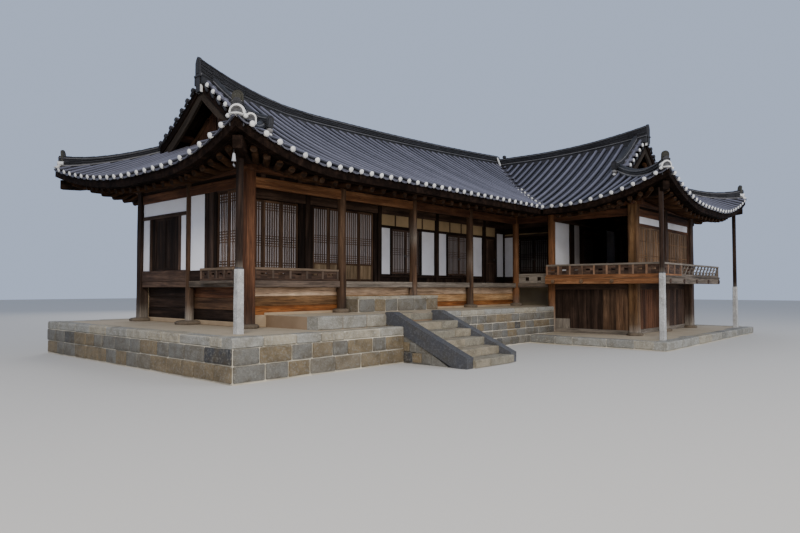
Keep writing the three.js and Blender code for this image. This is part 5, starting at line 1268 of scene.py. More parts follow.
def stair_steps(piece):
    """Two slabs to a step, on a bed of mortar that is set back from their edge."""
    left, right = STAIR_X0 + CHEEK, STAIR_X1 - CHEEK
    riser = UPPER_Z / STAIR_RISERS
    for i in range(STAIR_RISERS):
        back = TERRACE_Y - (STAIR_RISERS - 1 - i) * TREAD
        front = back - TREAD - 0.02
        if i == STAIR_RISERS - 1:
            front, back = TERRACE_Y - 0.02, TERRACE_Y + 0.30
        middle = left + (STAIR_X1 - STAIR_X0 - 2 * CHEEK) * random.uniform(0.35, 0.65)
        top = (i + 1) * riser + 0.004
        for x0, x1 in ((left, middle - 0.004), (middle + 0.004, right)):
            lift = random.uniform(-0.004, 0.004)
            slab(piece, x0, x1, front + random.uniform(-0.01, 0.01), back + 0.05, top - riser + 0.012, top + lift,
                 TREAD_STONE, tone=random.uniform(0.5, 1))
        slab(piece, left, right, front + 0.035, back + 0.05, max(0.0, top - riser - 0.14), top - riser + 0.016, MORTAR)


def cheek_masonry(piece, face, sign):
    """The blocks under the sloping cheek of the stairs, course by course out to its underside."""
    slope = (UPPER_Z - CHEEK_DEPTH) / (TERRACE_Y - 0.15 - CHEEK_FOOT_Y)
    z = 0.02
    while z < 0.7:
        high = min(z + 0.2, 0.74)
        limit = CHEEK_FOOT_Y + high / slope
        y = TERRACE_Y
        while y - limit > 0.12:
            size = min(random.uniform(0.22, 0.4), y - limit)
            corner = (face, y - 0.01 if sign < 0 else y - size + 0.01, z + 0.01)
            block(piece, corner, (0, sign, 0), (sign, 0, 0), size - 0.02, high - z - 0.02, 0.012)
            y -= size
        z = high


def stone_stairs():
    piece = Piece("stair_stones")
    stair_steps(piece)
    foot = STAIR_FOOT_Y
    outline = [(foot - 0.015, 0.0), (foot - 0.02, 0.20), (TERRACE_Y - 0.20, UPPER_Z + 0.05),
               (TERRACE_Y + 0.02, UPPER_Z + 0.05), (TERRACE_Y + 0.02, UPPER_Z - CHEEK_DEPTH), (foot + 0.30, 0.0)]
    under = [(TERRACE_Y, 0.0), (TERRACE_Y, UPPER_Z - 0.14), (TERRACE_Y - 0.15, UPPER_Z - CHEEK_DEPTH),
             (CHEEK_FOOT_Y, 0.0)]
    # The left cheek's low tone darkens it as painted shade; the right cheek keeps a middle tone.
    for x0, sign, tone in ((STAIR_X0, -1, 0.09), (STAIR_X1 - CHEEK, 1, 0.4)):
        x1 = x0 + CHEEK
        rings = []
        for share in (0, 0.12, 0.5, 0.88, 1):
            inset = 0.012 if share in (0, 1) else 0.0
            x = x0 - 0.012 + (CHEEK + 0.024) * share
            rings.append([(x, y, max(0.0, z - (inset if z > 0.3 else 0))) for y, z in outline])
        piece.loft(rings, CHEEK_STONE, tone=tone)
        piece.loft([[(x, y, z) for y, z in under] for x in (x0 + 0.01, x1 - 0.01)], STONE, tone=0.3)
        cheek_masonry(piece, x0 if sign < 0 else x1, sign)
    piece.make("stone", ["stone_stairs"])


stone_stairs()


def stone_block():
    piece = Piece("step_block_stones")
    x0, x1, y0, y1 = 2.6, 5.4, -0.35, 0.11
    left, right, front = x0 + 0.02, x1 - 0.02, y0 + 0.02
    cap = 0.06
    piece.box(left, right, front, y1, UPPER_Z, BLOCK_Z - 0.03, MORTAR, chamfer=0)
    for start, end, out, length in (((left, front), (right, front), TO_FRONT, 0.5),
                                    ((left, y1), (left, front), TO_LEFT, 0.3),
                                    ((right, front), (right, y1), TO_RIGHT, 0.3)):
        courses(piece, start, end, out, UPPER_Z, BLOCK_Z - cap, 1, length)
    for a, b in pairs(np.linspace(x0, x1, 5) + np.array((0, 0.06, -0.05, 0.04, 0))):
        slab(piece, a + 0.004, b - 0.004, y0, y1, BLOCK_Z - cap, BLOCK_Z + random.uniform(-0.004, 0.004), CAP_STONE,
             tone=random.uniform(0.6, 1))
    piece.make("stone", ["stone_block"])


stone_block()


# Timber walls


class Face:
    """A vertical wall plane: u along it, z up, d outwards from its middle."""

    def __init__(self, piece, axis, at, sign):
        self.piece, self.axis, self.at, self.sign = piece, axis, at, sign

    def box(self, u0, u1, z0, z1, d0, d1, material, upright=False, **look):
        spans = [(u0, u1), sorted((self.at + self.sign * d0, self.at + self.sign * d1))]
        if self.axis:
            spans.reverse()
        self.piece.box(*spans[0], *spans[1], z0, z1, material, axis=2 if upright else self.axis, **look)

    def both(self, u0, u1, z0, z1, half, material, upright=False, **look):
        self.box(u0, u1, z0, z1, -half, half, material, upright, **look)

    def rails(self, u0, u1, *rows):
        """Lying timbers over one stretch. A row is foot, top, half thickness and material."""
        for z0, z1, half, material in rows:
            self.both(u0, u1, z0, z1, half, material)

    def uprights(self, z0, z1, *rows):
        """Standing timbers of one height. A row is both edges, half thickness and material."""
        for u0, u1, half, material in rows:
            self.both(u0, u1, z0, z1, half, material, True)

    def doorway(self, left, a, b, right, half):
        """Jambs, foot and head of a door between a and b."""
        self.uprights(BASE_Z, LINTEL_Z, (left, a, half, DARK_WOOD), (b, right, half, DARK_WOOD))
        self.rails(a, b, (BASE_Z, DOOR_FOOT_Z, half, DARK_WOOD), (DOOR_HEAD_Z, DOOR_HEAD_TOP_Z, half, DARK_WOOD))

    def spot(self, u, z, d):
        across = self.at + self.sign * d
        return np.array((u, across, z) if self.axis == 0 else (across, u, z))

    def panel(self, u0, u1, z0, z1, material=WHITE_WALL):
        """A plastered panel between timbers, with a slightly raised field."""
        half = 0.03
        self.both(u0, u1, z0, z1, half, material, True, chamfer=0, tone=0.5)
        self.piece.loft([[self.spot(u, z, d) for u, z in (
            (u0 + inset, z0 + inset), (u1 - inset, z0 + inset), (u1 - inset, z1 - inset), (u0 + inset, z1 - inset))]
            for d, inset in ((half, 0.0), (half + 0.004, 0.012))], material, tone=0.5)

    def wall_top(self, places, height, low=POST_TOP_Z, half=0.03):
        """A dark wall that ends in the underside of the roof."""
        rings = []
        for u in places:
            x, y, _ = self.spot(u, 0, 0)
            top = height(x, y) - WALL_GAP
            rings.append([self.spot(u, z, d) for d, z in ((-half, low), (half, low), (half, top), (-half, top))])
        self.piece.loft(rings, DARK_WOOD, tone=0.5)

    def purlin(self, u0, u1, count, material, **look):
        """The round timber on top of the wall."""
        self.piece.pole([self.spot(u, PURLIN_Z, 0) for u in np.linspace(u0, u1, count)], 0.11, material, 16, **look)

    def head(self, a, b, material, half=0.06, chamfer=0.006, **look):
        """A lintel and the dark board between it and the plate."""
        self.both(a, b, LINTEL_Z, LINTEL_TOP_Z, half, material, **look)
        self.both(a, b, LINTEL_TOP_Z, PLATE_Z, 0.03, DARK_WOOD, chamfer=chamfer)

    def floor_beam(self, a, b, material, **look):
        """The beam at the edge of the floor, deeper inwards than outwards."""
        self.box(a, b, BEAM_LOW_Z, BEAM_TOP_Z, -0.11, 0.06, material, **look)

    def blocks(self, a, b, count, gap):
        """Short blocks between a lintel and the plate."""
        for k in range(count):
            u = a + 0.3 + (b - a - 0.6) * k / (count - 1)
            self.both(u - 0.05, u + 0.05, LINTEL_TOP_Z + gap, PLATE_Z, 0.05, WOOD)

    def halved(self, u0, u1):
        """A stretch of wall with a post in its middle, a rail, and four panels between them."""
        middle = (u0 + u1) / 2
        self.both(middle - 0.06, middle + 0.06, BEAM_TOP_Z, LINTEL_Z, 0.05, WOOD, True)
        self.both(u0, u1, RAIL_Z, RAIL_TOP_Z, 0.045, WOOD)
        for a, b in ((u0, middle - 0.06), (middle + 0.06, u1)):
            self.panel(a, b, BEAM_TOP_Z, RAIL_Z)
            self.panel(a, b, RAIL_TOP_Z, LINTEL_Z)

    def window(self, u0, u1, w0, w1):
        """A stretch of wall with a framed window opening in it."""
        z0, z1, edge = *WINDOW_Z, 0.07
        for a, b, low, high in ((u0, w0 - edge, BEAM_TOP_Z, LINTEL_Z), (w1 + edge, u1, BEAM_TOP_Z, LINTEL_Z),
                                (w0 - edge, w1 + edge, BEAM_TOP_Z, z0 - edge),
                                (w0 - edge, w1 + edge, z1 + edge, LINTEL_Z)):
            self.panel(a, b, low, high)
        half = 0.055
        self.uprights(z0 - edge, z1 + edge, (w0 - edge, w0, half, WOOD), (w1, w1 + edge, half, WOOD))
        self.rails(w0, w1, (z1, z1 + edge, half, WOOD), (z0 - edge, z0, half, WOOD))


def veranda_roof_z(x, y):
    return max(front_z(x, y), inner_z(max(x, EAVE_WING), y))


def post(piece, x, y, foot, half=COLUMN, square=False, material=WOOD, pale=0.7, reach=0.35, worn_at=None, tone=None,
         top=POST_TOP_Z):
    """A column with rounded arrises, paler towards its foot and slightly uneven."""
    levels = [foot, foot + 0.3 * reach, foot + 0.7 * reach, *np.linspace(foot + reach, top, 9)]
    worn = [pale, pale, 0.5 * pale, 0.12 * pale] + [0.0] * 8
    if worn_at:
        worn = [max(w, worn_at[1] * math.exp(-((z - worn_at[0]) / 0.22) ** 2)) for w, z in zip(worn, levels)]
    turns = circle(16)
    rings = []
    for z in levels:
        if square:
            c = 0.86
            shape = np.array([(-1, -c), (-c, -1), (0, -1), (c, -1), (1, -c), (1, 0), (1, c), (c, 1), (0, 1), (-c, 1),
                              (-1, c), (-1, 0)])
        else:
            shape = np.stack([np.cos(turns), np.sin(turns)], 1) * (1 - 0.06 * (z - foot) / (top - foot))
        rings.append([(x + a, y + b, z) for a, b in shape * half * (1 + 0.02 * math.sin(3 * z + x))])
    shade = random.uniform(0.2, 0.8)
    if tone:
        shade = np.repeat(np.interp(levels, (foot, foot + 1.3), tone), len(rings[0]))
    piece.loft(rings, material, worn=np.array(worn), smooth=not square, tone=shade)


def base_stone(piece, x, y, z, radius):
    """A rough natural stone under a column."""
    wobble = 1 + random.uniform(-0.1, 0.1, 14)
    turns = circle(14)
    piece.loft([[(x + radius * share * w * math.cos(t), y + radius * share * w * math.sin(t), z + level)
                 for t, w in zip(turns, wobble)]
                for level, share in ((-0.01, 0.9), (0.02, 1.0), (0.05, 1.0), (0.075, 0.86), (0.085, 0.6))],
               FOOT_STONE, tone=0.7, smooth=True)


def front_frame():
    piece = Piece("front_timber_frame")
    columns = list(zip(FRONT_X, (LOWER_Z, UPPER_Z, BLOCK_Z, UPPER_Z, UPPER_Z)))
    for (x, foot), (square, material, pale, spot, tone) in zip(columns, (
            (True, RED_WOOD, 0.12, None, (0.0, 0.75)), (False, BROWN_WOOD, 0.05, None, (0.0, 0.6)),
            (False, BROWN_WOOD, 0.2, (2.75, 0.75), None), (False, BROWN_WOOD, 0.1, (2.2, 0.35), (0.0, 0.5)),
            (False, ORANGE_WOOD, 0.4, None, None))):
        post(piece, x, 0.0, foot, COLUMN, square, material, pale, worn_at=spot, tone=tone)
    for x, foot in columns:
        if foot != BLOCK_Z:
            base_stone(piece, x, 0.0, foot, 0.2)
    face = Face(piece, 0, 0.0, -1)
    for a, b in pairs(FRONT_X):
        face.head(a, b, ORANGE_WOOD if a < 2 * BAY else RED_WOOD, chamfer=0, tone=0.7)
        face.floor_beam(a + COLUMN, b - COLUMN, GREY_WOOD if a else WOOD, worn=0.4 if a else 0.25)
        face.blocks(a, b, 5, 0.005)
    face.purlin(-0.25, WING_X, 9, RED_WOOD, tone=0.5)
    face.wall_top([0, 1.5, 3, 5, 7, 9, WING_X], front_z)
    piece.box(0.1, 0.5, -0.02, 0.11, BEAM_LOW_Z, BEAM_TOP_Z, GREY_WOOD)
    piece.make("timber", ["front_frame"])


def planks(face, u0, u1, z0, z1, material, width=0.22, **look):
    """Upright planks side by side, each a little different."""
    count = max(1, round((u1 - u0) / width))
    edges = np.linspace(u0, u1, count + 1)
    edges[1:-1] += random.uniform(-0.018, 0.018, count - 1)
    for a, b in pairs(edges):
        shift = random.uniform(-0.004, 0.004)
        face.box(a + 0.002, b - 0.002, z0, z1, shift - 0.02, shift + 0.02, material, True, chamfer=0.004,
                 tone=random.uniform(0.05, 0.95), **look)


def boards(face, u0, u1, levels, materials):
    """Lying boards one above the other, the lowest first."""
    for (z0, z1), material in zip(pairs(levels), materials):
        shift = random.uniform(-0.004, 0.004)
        face.box(u0, u1, z0 + 0.002, z1 - 0.002, shift - 0.015, shift + 0.02, material, chamfer=0.005)


def skirts():
    piece = Piece("veranda_boards")
    face = Face(piece, 0, 0.13, -1)
    for a, b in pairs(FRONT_X):
        # The top board of each bay, in the lighter tan timber, carries painted light.
        boards(face, max(a + 0.02, 0.11), b, [0.94, 1.12, 1.31, BASE_Z],
               (RUST_WOOD, AMBER_WOOD if a else BOARD_WOOD, LIT_TAN_WOOD))
    face.box(0.11, TERRACE_X, LOWER_Z, 0.945, -0.015, 0.03, CLAY_WALL, chamfer=0.01)
    face.box(TERRACE_X - 0.05, WING_X, UPPER_Z - 0.01, UPPER_Z + 0.05, -0.015, 0.04, CLAY_WALL, chamfer=0.01)
    side = Face(piece, 1, 0.13, -1)
    levels = [0.80, 1.03, 1.27, BASE_Z]
    boards(side, 0.11, DEPTH, levels, (DARK_WOOD, BROWN_WOOD, RED_WOOD))
    boards(side, DEPTH, BACK_Y - 0.11, levels, (DARK_WOOD,) * 3)
    side.box(0.11, BACK_Y - 0.11, LOWER_Z, levels[0], -0.015, 0.03, CLAY_WALL, chamfer=0.01)
    side.box(DEPTH + 0.1, DEPTH + 0.16, LOWER_Z, BASE_Z, 0.0, 0.06, WOOD, True)
    piece.make("orange_timber", ["veranda_skirt"])

    y0, y1 = -3.51, -1.32
    for name, plane, u0, u1, rows in (
            ("side", (1, WING_X, -1), y0, y1, (
                (y0, y0 + 0.75, SOLE_TOP_Z, DECK_LOW_Z, BROWN_WOOD, 0.19, 0.0),
                (y0 + 0.75, y1 - 0.45, SOLE_TOP_Z, DECK_LOW_Z, DARK_WOOD, 0.16, 0.0),
                (y1 - 0.45, y1, 0.60, DECK_LOW_Z, DARK_WOOD, 0.2, 0.0),
                (y1 - 0.45, y1, SOLE_TOP_Z, 0.60, GREY_WOOD, 0.2, 0.8))),
            ("end", (0, -3.49, -1), 9.72, 14.18, (
                (9.72, 11.85, SOLE_TOP_Z, DECK_LOW_Z, RED_WOOD, 0.21, 0.0),
                (12.05, 14.18, SOLE_TOP_Z, DECK_LOW_Z, WOOD, 0.22, 0.0)))):
        piece = Piece(f"pavilion_{name}_planks")
        face = Face(piece, *plane)
        for *row, worn in rows:
            planks(face, *row, worn=worn)
        face.box(u0, u1, PLATFORM_Z, SOLE_TOP_Z, -0.04, 0.04, GREY_WOOD, worn=0.5)
        face.box(u0, u1, 1.43, DECK_LOW_Z, -0.04, 0.035, WOOD)
        piece.make("dark_timber", [f"pavilion_{name}_skirt"])


def lattice(face, u0, u1, z0, z1, wood_to=0.0, material=WOOD, bars=5, bands=((0.0, 5), (0.46, 5), (0.88, 3)),
            paper=PAPER, panel=None, thick=0.011):
    """A papered door leaf: frame, thin upright bars, groups of cross bars, and a boarded foot."""
    half, stile, gap = 0.02, 0.052, 0.053
    left, right = u0 + stile, u1 - stile
    low, high = z0 + max(stile, wood_to), z1 - stile
    for a, b in ((u0, left), (right, u1)):
        face.box(a, b, z0, z1, -half, half, material, True, chamfer=0.003)
    for a, b in ((z0, z0 + stile), (high, z1)):
        face.box(left, right, a, b, -half, half, material, chamfer=0.003)
    if wood_to:
        face.box(left, right, z0 + stile, low - 0.04, -0.012, 0.008, panel or material, True, chamfer=0.002)
        face.box(left, right, low - 0.045, low, -half, half - 0.002, material, chamfer=0.003)
    face.box(left - 0.004, right + 0.004, low - 0.004, high + 0.004, -0.008, -0.002, paper, chamfer=0, tone=0.5)
    for k in range(bars):
        u = left + (right - left) * (k + 1) / (bars + 1)
        face.box(u - thick, u + thick, low, high, -0.004, 0.013, material, True, chamfer=0)
    for start, count in bands:
        for k in range(count):
            z = low + start * (high - low - gap * (count + 0.5)) + gap * (k + 0.5)
            if start > 0.8:
                z = high - gap * (count - k)
            face.box(left, right, z - 0.7 * thick, z + 0.7 * thick, -0.003, 0.0115, material, chamfer=0)


def plank_leaf(face, u0, u1, z0, z1, material, count=3, rails=True):
    """A door or shutter of upright boards in a frame."""
    stile = 0.055
    left, right = u0 + stile, u1 - stile
    for a, b in ((u0, left), (right, u1)):
        face.box(a, b, z0, z1, -0.02, 0.02, material, True, chamfer=0.003)
    for a, b in ((z0, z0 + stile), (z1 - stile, z1)):
        face.box(left, right, a, b, -0.02, 0.018, material, chamfer=0.003)
    if rails:
        middle = z0 + (z1 - z0) * 0.42
        face.box(left, right, middle, middle + 0.045, -0.018, 0.016, material, chamfer=0.003)
    for a, b in pairs(np.linspace(left, right, count + 1)):
        face.box(a + 0.001, b - 0.001, z0 + stile - 0.004, z1 - stile + 0.004, -0.012, 0.008, material, True,
                 chamfer=0.002)


def door_pull(face, u, z):
    """A round iron plate with a ring."""
    out = np.zeros(3)
    out[1 - face.axis] = face.sign
    side = np.cross(out, UP)
    centre = face.spot(u, z, 0.02)
    face.piece.pole([centre, centre + out * 0.004, centre + out * 0.006], [0.026, 0.026, 0.018], IRON, 14)
    ring = []
    for t in np.linspace(0, 2 * math.pi, 13):
        radial = side * math.sin(t) + UP * math.cos(t)
        spot = centre + out * 0.012 + 0.022 * (radial - UP)
        ring.append([spot + 0.0035 * (radial * math.cos(a) + out * math.sin(a))
                     for a in circle(6)])
    face.piece.loft(ring, IRON, smooth=True)


def leaves(name, slot, node, plane, edges, leaf, *sizes, **look):
    """The leaves of one opening, side by side in one piece."""
    piece = Piece(name)
    for a, b in pairs(edges):
        leaf(Face(piece, *plane), a + LEAF_GAP, b - LEAF_GAP, *sizes, **look)
    piece.make(slot, [node])


def hung_leaf(name, slot, node, plane, u0, u1, z0, hung_left, pull_z, leaf, *sizes, pull_in=0.03, **look):
    """A door that turns: its leaf, the ring it is pulled by, and the bar it hangs on."""
    piece = Piece(name)
    face = Face(piece, *plane)
    leaf(face, u0, u1, z0, 3.052, *sizes, **look)
    hinge, pull = (u0, u1 - pull_in) if hung_left else (u1, u0 + pull_in)
    door_pull(face, pull, pull_z)
    piece.pole([face.spot(hinge, z0 - 0.007, 0.02), face.spot(hinge, 3.059, 0.02)], 0.006, IRON, 8)
    piece.make(slot, [node], node)


def inner_wall():
    """Wall at the back of the front veranda."""
    piece = Piece("front_inner_wall")
    plane = (0, INNER_Y, -1)
    face = Face(piece, *plane)
    face.wall_top([0.08, 1.5, 3, 5, 7, 9, WING_INNER_X], veranda_roof_z, LINTEL_TOP_Z - 0.02, 0.035)
    face.both(0.08, WING_INNER_X, LINTEL_Z, LINTEL_TOP_Z, 0.07, WOOD)
    for x in FRONT_X[1:] + [WING_INNER_X]:
        face.both(x - 0.075, x + 0.075, BASE_Z, 4.3, 0.075, DARK_WOOD, True)
    bay_1, bay_2 = (0.25, 2.17), (2.60, 4.64)
    face.uprights(BASE_Z, LINTEL_Z, (0.08, bay_1[0], 0.05, WOOD), (bay_1[1], 2.345, 0.05, DARK_WOOD),
                  (2.495, bay_2[0], 0.05, DARK_WOOD), (bay_2[1], 4.765, 0.05, DARK_WOOD))
    for edges in (bay_1, bay_2):
        face.both(*edges, BASE_Z, DOOR_FOOT_Z, 0.06, WOOD)
    for x0, x1, a, b in ((4.915, 7.185, *BAY_3_DOORS), (7.335, 9.605, *BAY_4_DOORS)):
        planks(face, x0, x1, BASE_Z, SILL_Z - 0.08, DARK_WOOD, 0.4)
        face.both(x0, x1, SILL_Z - 0.09, SILL_Z, 0.06, DARK_WOOD)
        jamb = 0.08
        face.uprights(SILL_Z, DOOR_HEAD_TOP_Z, (a - jamb, a, 0.055, DARK_WOOD), (b, b + jamb, 0.055, DARK_WOOD))
        face.both(x0, x1, DOOR_HEAD_Z, DOOR_HEAD_TOP_Z, 0.058, DARK_WOOD)
        face.panel(x0 + 0.03, a - jamb, SILL_Z, DOOR_HEAD_Z)
        face.panel(b + jamb, x1 - 0.03, SILL_Z, DOOR_HEAD_Z)
        face.panel(x0, x1, DOOR_HEAD_TOP_Z, LINTEL_Z, BEIGE_WALL)
        for u in np.linspace(x0, x1, 5)[1:-1]:
            face.both(u - 0.03, u + 0.03, DOOR_HEAD_TOP_Z, LINTEL_Z, 0.04, WOOD, True)
    a, b, corner = 9.79, 10.33, 10.42
    face.doorway(9.755, a, b, corner, 0.055)
    face.panel(a, b, DOOR_HEAD_TOP_Z, LINTEL_Z, BEIGE_WALL)
    face.both(corner, 10.82, BASE_Z, SILL_Z, 0.05, DARK_WOOD)
    face.panel(corner, 10.815, SILL_Z, 3.25)
    face.both(corner, 10.82, 3.25, LINTEL_Z, 0.05, DARK_WOOD)
    piece.make("timber", ["front_wall"])

    for bay, edges, wood_to, look in ((1, bay_1, 0.15, {}), (
            2, bay_2, 0.44, {"bands": ((0.0, 4), (0.44, 4)), "panel": ORANGE_PANEL})):
        leaves(f"bay_{bay}_leaves", "lattice_paper", f"bay_{bay}_folding_doors", plane, np.linspace(*edges, 5),
               lattice, DOOR_FOOT_Z + 0.001, LINTEL_Z - 0.021, wood_to, BROWN_WOOD, paper=LIT_PAPER, **look)
    for bay, (x0, x1) in ((3, BAY_3_DOORS), (4, BAY_4_DOORS)):
        width = (x1 - x0 - 0.024) / 2
        for side, start in (("left", x0 + 0.008), ("right", x0 + 0.016 + width)):
            hung_leaf(f"bay_{bay}_leaf_{side}", "lattice_paper", f"bay_{bay}_door_{side}", plane, start, start + width,
                      SILL_Z + 0.008, side == "left", 2.35, lattice, 0.0, WOOD, 6, ((0.0, 2), (0.52, 4), (0.88, 2)),
                      thick=0.008)
    hung_leaf("bay_5_leaf", "dark_timber", "bay_5_door", plane, 9.798, 10.322, 1.648, True, 2.4, plank_leaf, WOOD,
              pull_in=0.032)


def wing_wall():
    """Wall along the side veranda, with its pair of doors."""
    piece = Piece("wing_inner_timber_wall")
    plane = (1, WING_INNER_X, -1)
    face = Face(piece, *plane)
    y0, y1 = WING_BACK_Y + 0.04, INNER_Y - 0.075
    d0, d1 = -0.47, 0.59
    face.wall_top([y0, -0.6, 0, 0.6, y1], inner_z, LINTEL_Z, 0.035)
    for a, b in ((y0, d0), (d1, y1)):
        face.both(a, b, BASE_Z, SILL_Z, 0.045, DARK_WOOD)
        face.panel(a, b, SILL_Z, DOOR_HEAD_TOP_Z)
    face.rails(y0, y1, (DOOR_HEAD_TOP_Z, 3.20, 0.06, WOOD), (3.20, 3.24, 0.03, BEIGE_WALL),
               (3.24, LINTEL_Z, 0.035, DARK_WOOD), (LINTEL_Z, 3.60, 0.06, WOOD))
    face.doorway(d0 - 0.08, d0, d1, d1 + 0.08, 0.05)
    piece.make("timber", ["wing_inner_wall"])
    width = (1.06 - 0.024) / 2
    for name, start in (("front", -0.462), ("rear", -0.454 + width)):
        hung_leaf("wing_leaf_" + name, "dark_timber", "wing_door_" + name, plane, start, start + width, 1.648,
                  name == "front", 2.4, lattice, 0.35, DARK_WOOD, 5, ((0.0, 3), (0.5, 4), (0.88, 2)), DARK_PAPER)


def left_side():
    piece = Piece("left_timber_wall")
    post(piece, 0, DEPTH, LOWER_Z, 0.092, False, BROWN_WOOD, 1.0, 0.42)
    post(piece, 0, BACK_Y, LOWER_Z, COLUMN, True, DARK_WOOD, 0.6, 0.42)
    base_stone(piece, 0, DEPTH, LOWER_Z, 0.32)
    base_stone(piece, 0, BACK_Y, LOWER_Z, 0.26)
    plane = (1, 0.0, -1)
    face = Face(piece, *plane)
    near, far, back = DEPTH - 0.06, DEPTH + 0.06, BACK_Y - COLUMN
    for a, b in ((COLUMN, near), (far, back)):
        face.floor_beam(a, b, GREY_WOOD if a < 1 else WOOD)
        face.head(a, b, RED_WOOD, chamfer=0)
    face.wall_top([0.1, 1, 2, 3, BACK_Y + 0.05], left_z)
    face.purlin(-0.25, BACK_Y + 0.25, 6, RED_WOOD)
    lattice_left, lattice_right, lattice_foot, lattice_top = 0.26, 1.04, 1.66, 3.40
    face.uprights(BEAM_TOP_Z, LINTEL_Z, (1.135, 1.285, 0.06, WOOD), (1.285, 1.50, 0.04, DARK_WOOD),
                  (lattice_right, 1.135, 0.05, DARK_WOOD), (0.1, lattice_left, 0.05, WOOD))
    face.rails(lattice_left, lattice_right, (BEAM_TOP_Z, lattice_foot, 0.06, WOOD),
               (lattice_top, LINTEL_Z, 0.05, WOOD))
    face.both(1.50, near, BEAM_TOP_Z, SILL_Z, 0.05, DARK_WOOD)
    # Panels in the lighter plaster carry painted light.
    face.panel(1.50, near, SILL_Z, LINTEL_Z, LIT_WALL)
    left, y0, y1, right, z0, z1 = 2.44, 2.76, 3.62, 3.80, 1.86, 3.04
    face.both(far, back, BEAM_TOP_Z, z0, 0.07, WOOD)
    face.uprights(z0, z1, (left, left + 0.07, 0.06, WOOD), (right - 0.07, right, 0.06, WOOD),
                  (left + 0.07, y0, 0.03, DARK_WOOD), (y1, right - 0.07, 0.03, DARK_WOOD))
    face.both(far, back, z1, 3.12, 0.06, WOOD)
    # Also painted light: the lighter plaster here and on the panel above the window.
    face.panel(far, left, z0, z1, LIT_WALL)
    face.panel(right, back, z0, z1)
    face.panel(far, back, 3.12, LINTEL_Z, LIT_WALL)
    piece.box(-0.17, -0.05, 0.28, 1.48, 1.56, BEAM_TOP_Z, GREY_WOOD, axis=1)
    piece.make("timber", ["left_wall"])
    leaves("left_lattice_leaves", "lattice_paper", "left_lattice_window", plane,
           (lattice_left, 0.65, lattice_right), lattice,
           lattice_foot + 0.001, lattice_top - 0.001, 0.1, BROWN_WOOD, 4, paper=WHITE_WALL)
    leaves("left_plank_leaves", "dark_timber", "left_plank_window", plane, (y0, (y0 + y1) / 2, y1), plank_leaf,
           z0 + 0.001, z1 - 0.001, DARK_WOOD, 2, rails=False)


def window_leaves(side, plane, edges):
    leaves(side + "_window_leaves", "lattice_paper", side + "_window", plane, edges, lattice,
           WINDOW_Z[0] + 0.001, WINDOW_Z[1] - 0.001, 0.0, WOOD, 5, ((0.0, 2), (0.5, 3), (0.88, 2)))


def back_side():
    piece = Piece("back_timber_wall")
    plane = (0, BACK_Y, 1)
    face = Face(piece, *plane)
    xs = FRONT_X + [WING_MID_X, RIGHT_X]
    for x in xs[1:]:
        post(piece, x, BACK_Y, UPPER_Z, COLUMN, x == RIGHT_X, WOOD, 0.6)
        base_stone(piece, x, BACK_Y, UPPER_Z, 0.2)
    w0, w1 = 3.20, 4.06
    for i, (a, b) in enumerate(pairs(xs)):
        u0, u1 = a + 0.09, b - 0.09
        face.both(u0, u1, BEAM_LOW_Z, BEAM_TOP_Z, 0.07, WOOD)
        face.head(u0, u1, WOOD, 0.07)
        face.both(max(u0, TERRACE_X), u1, UPPER_Z, BEAM_LOW_Z, 0.055, CLAY_WALL, chamfer=0)
        if i == 0:
            face.both(0.1, TERRACE_X, LOWER_Z, BEAM_LOW_Z, 0.055, CLAY_WALL, chamfer=0)
        if i == 1:
            face.window(u0, u1, w0, w1)
        else:
            face.halved(u0, u1)
    face.wall_top([0.1, 2, 5, 8, 11, RIGHT_X], back_z)
    face.purlin(-0.25, RIGHT_X + 0.25, 9, WOOD)
    piece.make("timber", ["back_wall"])
    window_leaves("back", plane, (w0, 3.63, w1))


def right_side():
    piece = Piece("right_timber_wall")
    plane = (1, RIGHT_X, 1)
    face = Face(piece, *plane)
    post(piece, RIGHT_X, INNER_Y, UPPER_Z, COLUMN, True, WOOD, 0.6)
    post(piece, RIGHT_X, WING_BACK_Y, PLATFORM_Z, COLUMN, True, WOOD, 0.8)
    base_stone(piece, RIGHT_X, INNER_Y, UPPER_Z, 0.2)
    w0, w1 = 2.5, 3.3
    for i, (a, b) in enumerate(pairs([WING_FRONT_Y, WING_BACK_Y, INNER_Y, BACK_Y])):
        u0, u1 = a + (0.09 if i else 0.12), b - 0.09
        face.head(u0, u1, WOOD)
        if i:
            face.both(u0, u1, BEAM_LOW_Z, BEAM_TOP_Z, 0.06, WOOD)
            face.both(max(u0, NOTCH_Y), u1, UPPER_Z, BEAM_LOW_Z, 0.055, CLAY_WALL, chamfer=0)
        if i == 1:
            face.halved(u0, u1)
        if i == 2:
            face.window(u0, u1, w0, w1)
    y0, y1 = WING_FRONT_Y + 0.12, WING_BACK_Y
    d0, d1, z0, z1 = -3.20, -1.64, DECK_Z + 0.06, 3.2
    face.rails(y0, y1, (DECK_LOW_Z, DECK_Z, 0.06, WOOD), (DECK_Z, z0, 0.05, WOOD))
    face.uprights(z0, LINTEL_Z, (y0, d0, 0.045, WOOD), (d1, y1 - 0.1, 0.045, WOOD))
    face.both(d0, d1, z1, LINTEL_Z, 0.045, WOOD)
    planks(face, y0, y1, SOLE_TOP_Z, DECK_LOW_Z, WOOD, 0.21)
    face.both(y0, y1, PLATFORM_Z, SOLE_TOP_Z, 0.04, GREY_WOOD)
    face.wall_top([y0, -2, 0, 2, BACK_Y - 0.1], outer_z)
    face.purlin(WING_FRONT_Y - 0.25, BACK_Y + 0.25, 8, WOOD)
    piece.make("timber", ["right_wall"])
    window_leaves("right", plane, (w0, 2.9, w1))
    leaves("pavilion_side_leaves", "dark_timber", "pavilion_side_shutters", plane, (d0, (d0 + d1) / 2, d1), plank_leaf,
           z0 + 0.001, z1 - 0.001, RED_WOOD)


